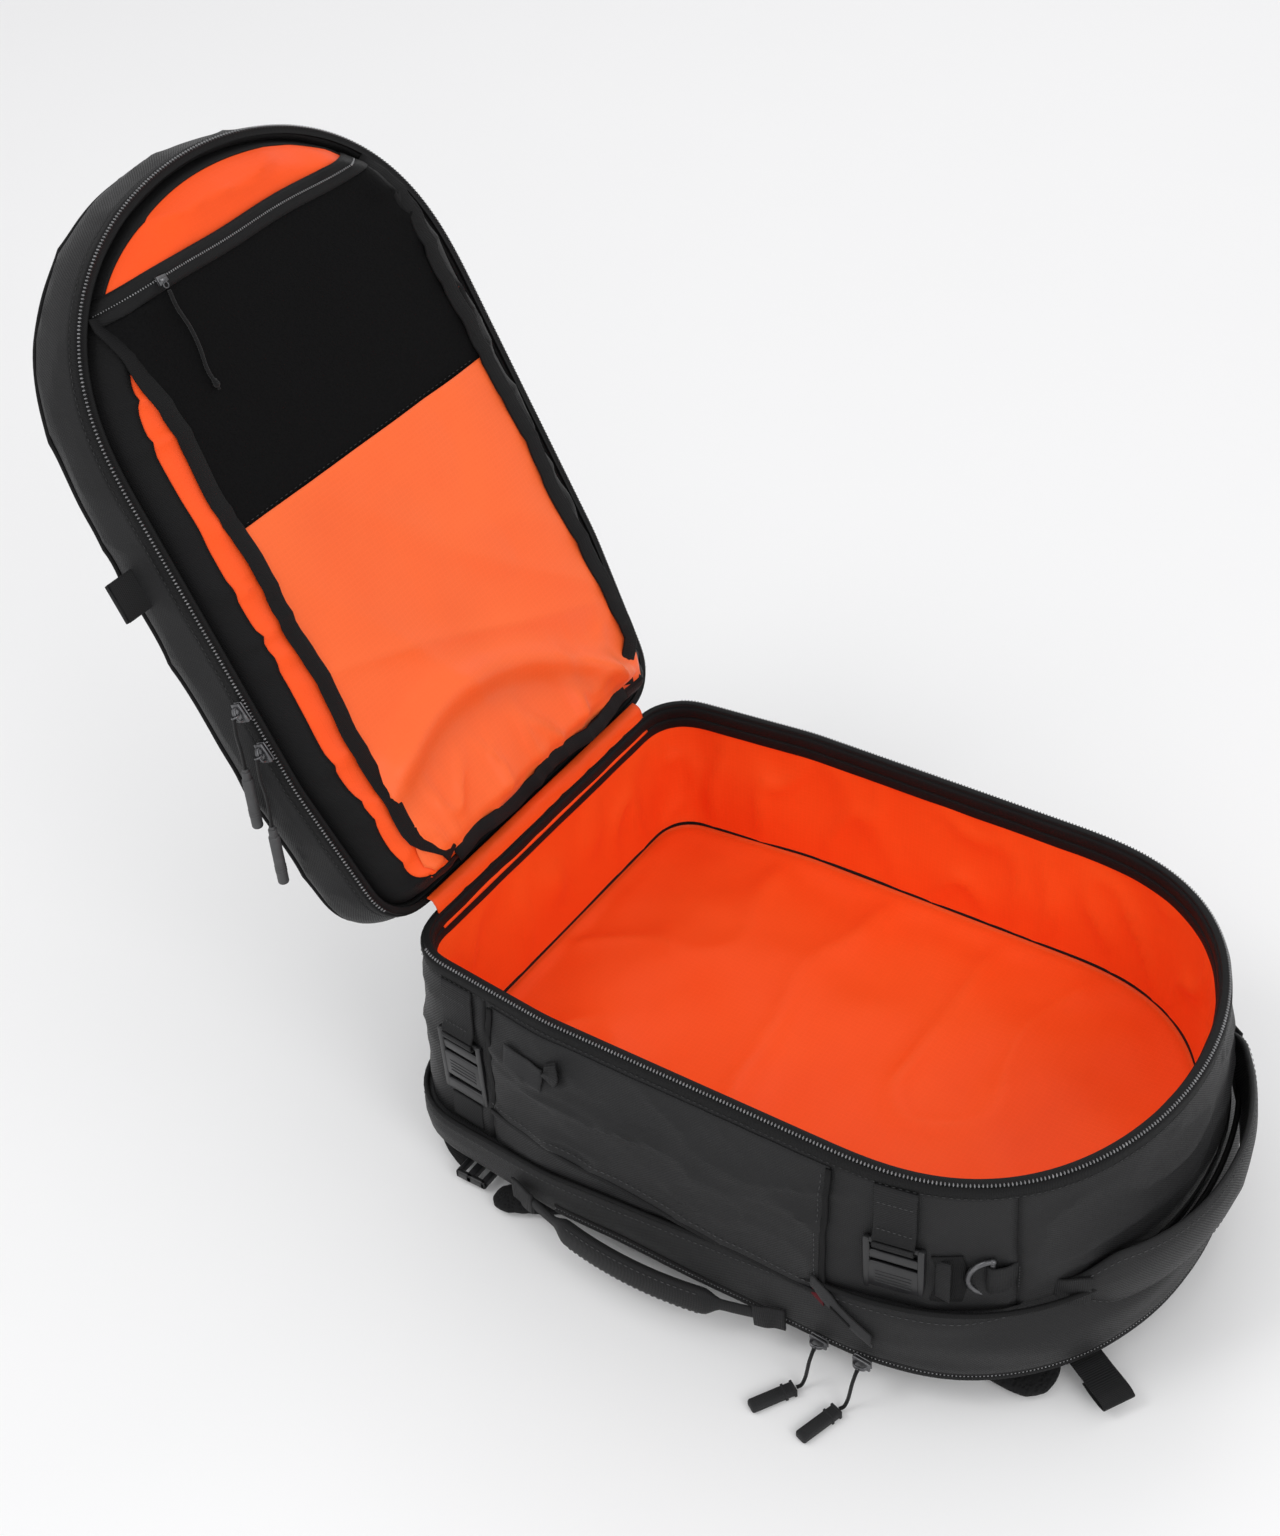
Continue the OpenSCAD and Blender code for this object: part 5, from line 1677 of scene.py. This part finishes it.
class BACKPACK_OT_lid_lining(bpy.types.Operator):
    """Lid's lining with its two pockets, zip and tapes"""
    bl_idname = "backpack.lid_lining"
    bl_label = "Lid lining"

    def execute(self, context):
        def place(i, j):
            point = spine_point(i, (j / 40) ** 1.15, LID_EDGE, 0)
            point.z = lining_z(point.x, point.y)
            return point
        bm = lattice(ROUND, 40, place, (RIM_ROUND, HALF_W), wrap=True, turned=True)
        block_map(bm)
        made = piece("lid_lining_cloth", bm, "lid", "orange_lining", "lid_lining", matrix=LID, angle=180)
        thicken(made, 0.8 * MM)

        def facing(i, j):
            x, y = RIM[i % ROUND][0]
            wide = 8 + 11 * ease(200 * MM, 170 * MM, x) * ease(20 * MM, 60 * MM, abs(y))
            wide += 12 * ease(20 * MM, 150 * MM, y) * ease(215 * MM, 195 * MM, x)
            reach = (wide + 1.4 * noise.noise(Vector((i * 0.07, 2, 0)))) * MM
            point = rim_point(i, -6.4 * MM - reach * j / 6, 0)
            point.z = lining_z(point.x, point.y) - (1.2 + 0.9 * math.sin(math.pi * j / 6)) * MM
            return point
        bm = lattice(ROUND, 6, facing, (RIM_ROUND, 24 * MM), wrap=True, turned=True)
        made = piece("lid_inner_facing", bm, "lid", "binding_tape", matrix=LID, angle=180)
        thicken(made, 1.0 * MM)

        def edge(x):
            return min(134 * MM, half_width(x) - 12 * MM)

        def mesh_lift(x, y):
            down = math.sin(math.pi * min(1, max(0, (x - 37 * MM) / (156 * MM))))
            belly = down * math.cos(math.pi / 2 * min(1, abs(y) / edge(x)))
            return (1.1 + 0.3 * belly) * MM

        lid_panel("pocket_mesh", "black_mesh", "mesh_pocket", 37 * MM, 193 * MM, edge, mesh_lift, 60, 60, 0.8,
                  shade=lambda co: 0.5 * ease(5 * MM, 0, co.x - 37 * MM))

        def hollow(x, y):
            return math.exp(-((x + 158 * MM + y * 0.3 + 60 * MM * (y / (130 * MM)) ** 2) / (13 * MM)) ** 2)

        def low_lift(x, y):
            down = ease(37 * MM, -225 * MM, x)
            diagonal = creases((x * 0.6 + y * 0.9, y * 0.2 - x * 0.3, 0), 120 * MM, 6.0, 12.0)
            bend = 11 * hollow(x - 16 * MM, y)
            soft = wave((x + y * 0.4, y, 0), 80 * MM, 3.4, 9.0)
            fan = creases((x * 0.55 + y * 0.3, y * 1.2, 0), 40 * MM, 5.5, 7.0) * ease(-150 * MM, -205 * MM, x)
            hem = ease(-226 * MM, -214 * MM, x)
            return (1.6 + (max(0.0, diagonal) * (0.3 + down) + abs(soft) + bend + max(0.0, fan))
                    * hem * math.cos(math.pi / 2 * (abs(y) / edge(x)) ** 4)) * MM

        def low_edge(x):
            return min(131 * MM, half_width(x) - 16 * MM - 22 * MM * ease(-200 * MM, -228 * MM, x))

        # Painted shade: the pocket is darkened along its fold's hollow; the wave term adds random darker
        # tone.
        lid_panel("pocket_orange", "orange_pocket", "lower_pocket", -226 * MM, 38.5 * MM,
                  low_edge, low_lift, 90, 72, 0.8,
                  shade=lambda co: 0.2 * hollow(co.x, co.y) + 0.12 * max(0.0, wave(co, 70 * MM, 1.0, 6.0)))
        self.tapes(edge)
        self.zip(edge)
        return {"FINISHED"}

    def tapes(self, edge):
        parts = []
        for side in (-1, 1):
            line = []
            for n in range(61):
                x = (-224 + 418 * n / 60) * MM
                inset = min(131 * MM, edge(x) - 3 * MM) - 22 * MM * ease(-190 * MM, -224 * MM, x)
                y = side * (inset + 1.2 * MM * math.sin(n * 0.5))
                line.append(lining_spot(x, y, (2.3 + 1.8 * ease(50 * MM, 20 * MM, x)) * MM))
            parts.append(ribbon(line, (0, 0, -1), 13 * MM, 1.8 * MM))
        line = []
        for n in range(41):
            y = (-104 + 208 * n / 40) * MM
            x = (-229 + 2.5 * math.sin(n * 0.35)) * MM
            line.append(lining_spot(x, y, 3.4 * MM))
        parts.append(ribbon(line, (0, 0, -1), 11 * MM, 1.8 * MM))
        piece("lid_lining_tapes", merged(*parts), "lid", "binding_tape", "lid_tapes", matrix=LID, angle=180)
        rows = []
        for x in (40.5 * MM,):
            line = [lining_spot(x, (n - 20) * 6 * MM, 1.5 * MM) for n in range(41)]
            rows.append(stitch_spots(line, (0, 0, -1)))
        seam("pocket_seam_stitches", "lid", rows, (3.0, 0.55, 0.4), "binding_thread", LID)

    def zip(self, edge):
        def middle(y):
            return (197 + 1.4 * math.cos(y / (60 * MM)) + 0.6 * math.sin(y / (17 * MM))) * MM
        parts = []
        for low, high in ((-7.4, 0.0), (0.0, 7.4)):
            def spot(i, j, low=low, high=high):
                y = (i / 72 * 2 - 1) * (edge(197 * MM) + 1 * MM)
                x = middle(y) + (low + (high - low) * j / 3) * MM
                return lining_spot(x, y, (2.4 - 0.7 * (abs(low + (high - low) * j / 3) > 6)) * MM)
            parts.append(lattice(72, 3, spot, (0.28, 0.007)))
        bm = merged(*parts)
        face_out(bm)
        if sum(f.normal.z for f in bm.faces) > 0:
            bmesh.ops.reverse_faces(bm, faces=bm.faces)
        made = piece("pocket_zip_tape", bm, "lid", "zip_tape", "mesh_zip", matrix=LID, angle=180)
        thicken(made, 1.4 * MM, 0)
        line = [lining_spot(middle(y), y, 3.0 * MM) for y in [(n / 60 * 2 - 1) * 128 * MM for n in range(61)]]
        spots = stitch_spots(line, (0, 0, -1), 1.0 * MM, 0.9 * MM)
        piece("pocket_zip_coil", tiny_set(mitred_frames(spots), (1.3 * MM, 2.0 * MM, 1.3 * MM)),
              "lid", "zip_coil", matrix=LID, angle=180)


# ---- back: pads and harness ----


def round_slab(bm, centre_a, radius_a, centre_b, radius_b, low, high):
    """A flat slab with round ends between two places."""
    verts = []
    for (x, y), radius in ((centre_a, radius_a), (centre_b, radius_b)):
        for z in (low, high):
            verts += bmesh.ops.create_circle(bm, segments=32, radius=radius, cap_ends=False,
                                             matrix=Matrix.Translation((x, y, z)))["verts"]
    hull = bmesh.ops.convex_hull(bm, input=verts, use_existing_faces=False)
    spare = {g for key in ("geom_interior", "geom_unused") for g in hull[key]
             if isinstance(g, bmesh.types.BMVert)}
    bmesh.ops.delete(bm, geom=list(spare), context="VERTS")


def remapped(obj, rule=None):
    """Lays the map anew on a remeshed piece."""
    bm = bmesh.new()
    bm.from_mesh(obj.data)
    block_map(bm)
    if rule:
        mark(bm, "shade", rule)
    bm.to_mesh(obj.data)
    bm.free()
    obj.data.shade_smooth()
    smooth = obj.modifiers.new("smooth", "SUBSURF")
    smooth.levels = smooth.render_levels = 1


class BACKPACK_OT_back(bpy.types.Operator):
    """Quilted back pads and shoulder straps"""
    bl_idname = "backpack.back"
    bl_label = "Back pads and shoulder straps"

    def execute(self, context):
        rows = [(-235, -95), (-85, 35), (125, 222)]
        bm = bmesh.new()
        edge = 2.4 * MM
        for n, (low, high) in enumerate(rows):
            spans = [(-84, 84)] if n == 1 else [(-84, -8), (8, 84)]
            for a, b in spans:
                block(bm, (low * MM + edge, a * MM + edge, edge),
                      (high * MM - edge, b * MM - edge, PAD_T + 1 * MM),
                      bevel=4 * MM, segments=3)
        made = piece("back_pad_cushions", bm, "pack", "padded_mesh", "back_pads", angle=180)
        plumped(made, "back_pad_cushions", 4.6 * MM, 0.9, 3.2 * MM)
        remapped(made)
        for side, key in ((-1, "near"), (1, "far")):
            bm = bmesh.new()
            low, high = 2.6 * MM, 11.4 * MM
            spots = [((205 * MM, side * 122 * MM), 25 * MM), ((-80 * MM, side * 122 * MM), 27 * MM),
                     ((-172 * MM, side * 182 * MM), 14 * MM)]
            for (a, ra), (b, rb) in zip(spots, spots[1:]):
                round_slab(bm, a, ra, b, rb, low, high)
            made = piece("shoulder_strap_pad_" + key, bm, home("shoulder_strap_" + key),
                         "padded_mesh", "shoulder_strap_" + key, angle=180)
            plumped(made, "shoulder_pad_" + key, 4.6 * MM, 0.8, 2.2 * MM)
            remapped(made)
        self.harness()
        self.sternum()
        return {"FINISHED"}

    def harness(self):
        parts, rows = [], []
        for side in (-1, 1):
            line = [Vector((x, side * y, z)) * MM for x, y, z in
                    ((-216, 169, 8.6), (-222, 167, 9.4), (-232, 162, 9.4), (-244, 154, 11),
                     (-252, 150, 14.2), (-256, 149, 15.4))]
            parts.append(ribbon(smooth_path(line, 20), (0, 0, 1), 19 * MM, 1.6 * MM))
            rows.append(stitch_spots([Vector((-252, side * (141 + 1.6 * n), 15.6)) * MM for n in range(11)],
                                     (0, 0, 1), 2.4 * MM, 0.8 * MM))
        piece("harness_webbing_ends", merged(*parts), "pack", "webbing", "harness_webbing", angle=180)
        seam("harness_stitches", "pack", rows, (2.4, 0.6, 0.5))
        bm = bmesh.new()
        for side in (-1, 1):
            x, y = -206 * MM, side * 168 * MM
            a, b = y - 17 * MM, y + 17 * MM
            for low, high in ((-12, -8.4), (-3.2, 2.6), (9.6, 14)):
                block(bm, (x + low * MM, a, 4.2 * MM), (x + high * MM, b, 10.8 * MM),
                      bevel=1.3 * MM, segments=3)
            for start, end in ((a, a + 4 * MM), (b - 4 * MM, b)):
                block(bm, (x - 12 * MM, start, 4.2 * MM), (x + 14 * MM, end, 10.8 * MM),
                      bevel=1.3 * MM, segments=3)
        block_map(bm)
        piece("strap_ladder_locks", bm, "pack", "black_acetal", "ladder_locks", angle=40)
        line = [Vector(p) * MM for p in ((-17, 0, -1.0), (-8, 0, -1.0), (1, 0, -1.4),
                                         (12, 0, -1.2), (20, 0, -1.4), (25, 0, -3.2), (25, 0, -5.4),
                                         (19, 0, -6.6), (10, 0, -6.4), (2, 0, -5.0))]
        turn = Matrix.Translation(Vector((246, -108, 16)) * MM) @ Matrix.Rotation(math.radians(-30), 4, "Z")
        line = smooth_path(line, 40)
        centre = Vector((12, 0, -4)) * MM

        def out(k):
            if line[k].x < 0:
                return Vector((0, 0, 1))
            return Vector((line[k].x - centre.x, 0, (line[k].z - centre.z) * 4)).normalized()
        bm = ribbon(line, out, 24 * MM, 1.3 * MM)
        piece("webbing_haul_loop", bm, "pack", "webbing", "haul_loop", matrix=turn, angle=180)

    def sternum(self):
        for side, key in ((-1, "near"), (1, "far")):
            bm = ribbon(smooth_path([Vector((80, side * y, z)) * MM for y,
                                     z in ((12, 8.2), (30, 8.6), (55, 8.0), (75, 8.5), (91.5, 8.2))], 20),
                        (0, 0, 1), 20 * MM, 1.7 * MM)
            half = bmesh.new()
            if side < 0:
                for low, high in ((66, 70), (90, 94)):
                    block(half, (low * MM, side * 20.2 * MM, 4 * MM), (high * MM, side * 0.3 * MM, 12 * MM),
                          bevel=1.4 * MM, segments=3)
                block(half, (68 * MM, side * 15 * MM, 4.4 * MM), (92 * MM, side * 0.3 * MM, 11.6 * MM),
                      bevel=1.6 * MM, segments=3)
                block(half, (68 * MM, side * 20.2 * MM, 5 * MM), (92 * MM, side * 18 * MM, 11 * MM),
                      bevel=1.0 * MM)
            else:
                block(half, (67 * MM, 0.3 * MM, 4.2 * MM), (93 * MM, 13 * MM, 11.8 * MM),
                      bevel=1.8 * MM, segments=3)
                for low, high in ((66.4, 70), (90, 93.6)):
                    block(half, (low * MM, 3 * MM, 4.4 * MM), (high * MM, 20.2 * MM, 11.6 * MM),
                          bevel=1.4 * MM, segments=3)
                block(half, (68 * MM, 18 * MM, 5 * MM), (92 * MM, 20.2 * MM, 11 * MM), bevel=1.0 * MM)
            block_map(half)
            piece("sternum_webbing_" + key, bm, home("sternum_strap_" + key), "webbing",
                  "sternum_strap_" + key, angle=180)
            piece("sternum_buckle_" + key, half, home("sternum_strap_" + key), "black_acetal", angle=40)


# ---- stage, panel and order of work ----


class BACKPACK_OT_studio(bpy.types.Operator):
    """Floor, soft lights and a pale surround"""
    bl_idname = "backpack.studio"
    bl_label = "Studio"

    def execute(self, context):
        shade = context.scene.backpack_studio.floor_shade
        bm = bmesh.new()
        bmesh.ops.create_grid(bm, x_segments=1, y_segments=1, size=12)
        mesh = bpy.data.meshes.new("studio_floor")
        bm.to_mesh(mesh)
        bm.free()
        floor = bpy.data.objects.new("studio_floor", mesh)
        context.scene.collection.objects.link(floor)
        paper = Finish("pale_floor")
        grain = paper.noise(paper.node("ShaderNodeTexCoord", {}, {}, 3), 3.0)
        paper.feed("Base Color", paper.mix(grain, rgb([shade] * 3), rgb([shade * 0.985] * 3)))
        paper.steady(Roughness=0.9, Specular_IOR_Level=0.1)
        mesh.materials.append(paper.material)
        for name, spot, size, power in (("key_light", (-1.3, -1.5, 2.6), 1.2, 15),
                                        ("near_light", (1.7, -2.6, 1.9), 1.6, 11),
                                        ("lining_light", (1.9, -0.9, 1.5), 1.2, 13),
                                        ("back_light", (-0.6, 2.6, 2.2), 1.2, 8)):
            data = bpy.data.lights.new(name, "AREA")
            data.shape, data.size, data.energy = "DISK", size, power
            lamp = bpy.data.objects.new(name, data)
            aim = Vector((-0.1, 0, 0.25)) - Vector(spot)
            lamp.matrix_world = Matrix.Translation(spot) @ aim.to_track_quat("-Z", "Y").to_matrix().to_4x4()
            context.scene.collection.objects.link(lamp)
        world = bpy.data.worlds.new("pale_surround")
        world.use_nodes = True
        surround = world.node_tree.nodes["Background"]
        surround.inputs["Color"].default_value = (0.95, 0.95, 0.96, 1)
        surround.inputs["Strength"].default_value = 0.88
        context.scene.world = world
        context.scene.view_settings.view_transform = "Standard"
        return {"FINISHED"}


STEPS = ("camera", "cords", "walls", "laptop_layer", "rim", "lining", "side_pocket", "straps",
         "handles", "sliders",
         "lid_shell", "lid_lining", "back", "studio")


class BACKPACK_PT_panel(bpy.types.Panel):
    """Backpack settings and steps"""
    bl_idname = "BACKPACK_PT_panel"
    bl_label = "Travel backpack"
    bl_space_type = "VIEW_3D"
    bl_region_type = "UI"
    bl_category = "Backpack"

    def draw(self, context):
        for group, keys in ((context.scene.backpack_look, BackpackLook.__annotations__),
                            (context.scene.backpack_studio, BackpackStudio.__annotations__)):
            box = self.layout.box()
            for key in keys:
                box.prop(group, key)
        for step in STEPS:
            self.layout.operator("backpack." + step)


CLASSES = (BackpackLook, BackpackStudio, BACKPACK_OT_camera, BACKPACK_OT_cords, BACKPACK_OT_walls,
           BACKPACK_OT_laptop_layer, BACKPACK_OT_rim, BACKPACK_OT_lining, BACKPACK_OT_side_pocket,
           BACKPACK_OT_straps, BACKPACK_OT_handles, BACKPACK_OT_sliders, BACKPACK_OT_lid_shell,
           BACKPACK_OT_lid_lining, BACKPACK_OT_back, BACKPACK_OT_studio, BACKPACK_PT_panel)


def register():
    for cls in CLASSES:
        bpy.utils.register_class(cls)
    bpy.types.Scene.backpack_look = PointerProperty(type=BackpackLook)
    bpy.types.Scene.backpack_studio = PointerProperty(type=BackpackStudio)


def unregister():
    del bpy.types.Scene.backpack_studio
    del bpy.types.Scene.backpack_look
    for cls in reversed(CLASSES):
        bpy.utils.unregister_class(cls)


def main():
    register()
    make_finishes(look())
    for step in STEPS:
        getattr(bpy.ops.backpack, step)()


if __name__ == "__main__":
    main()
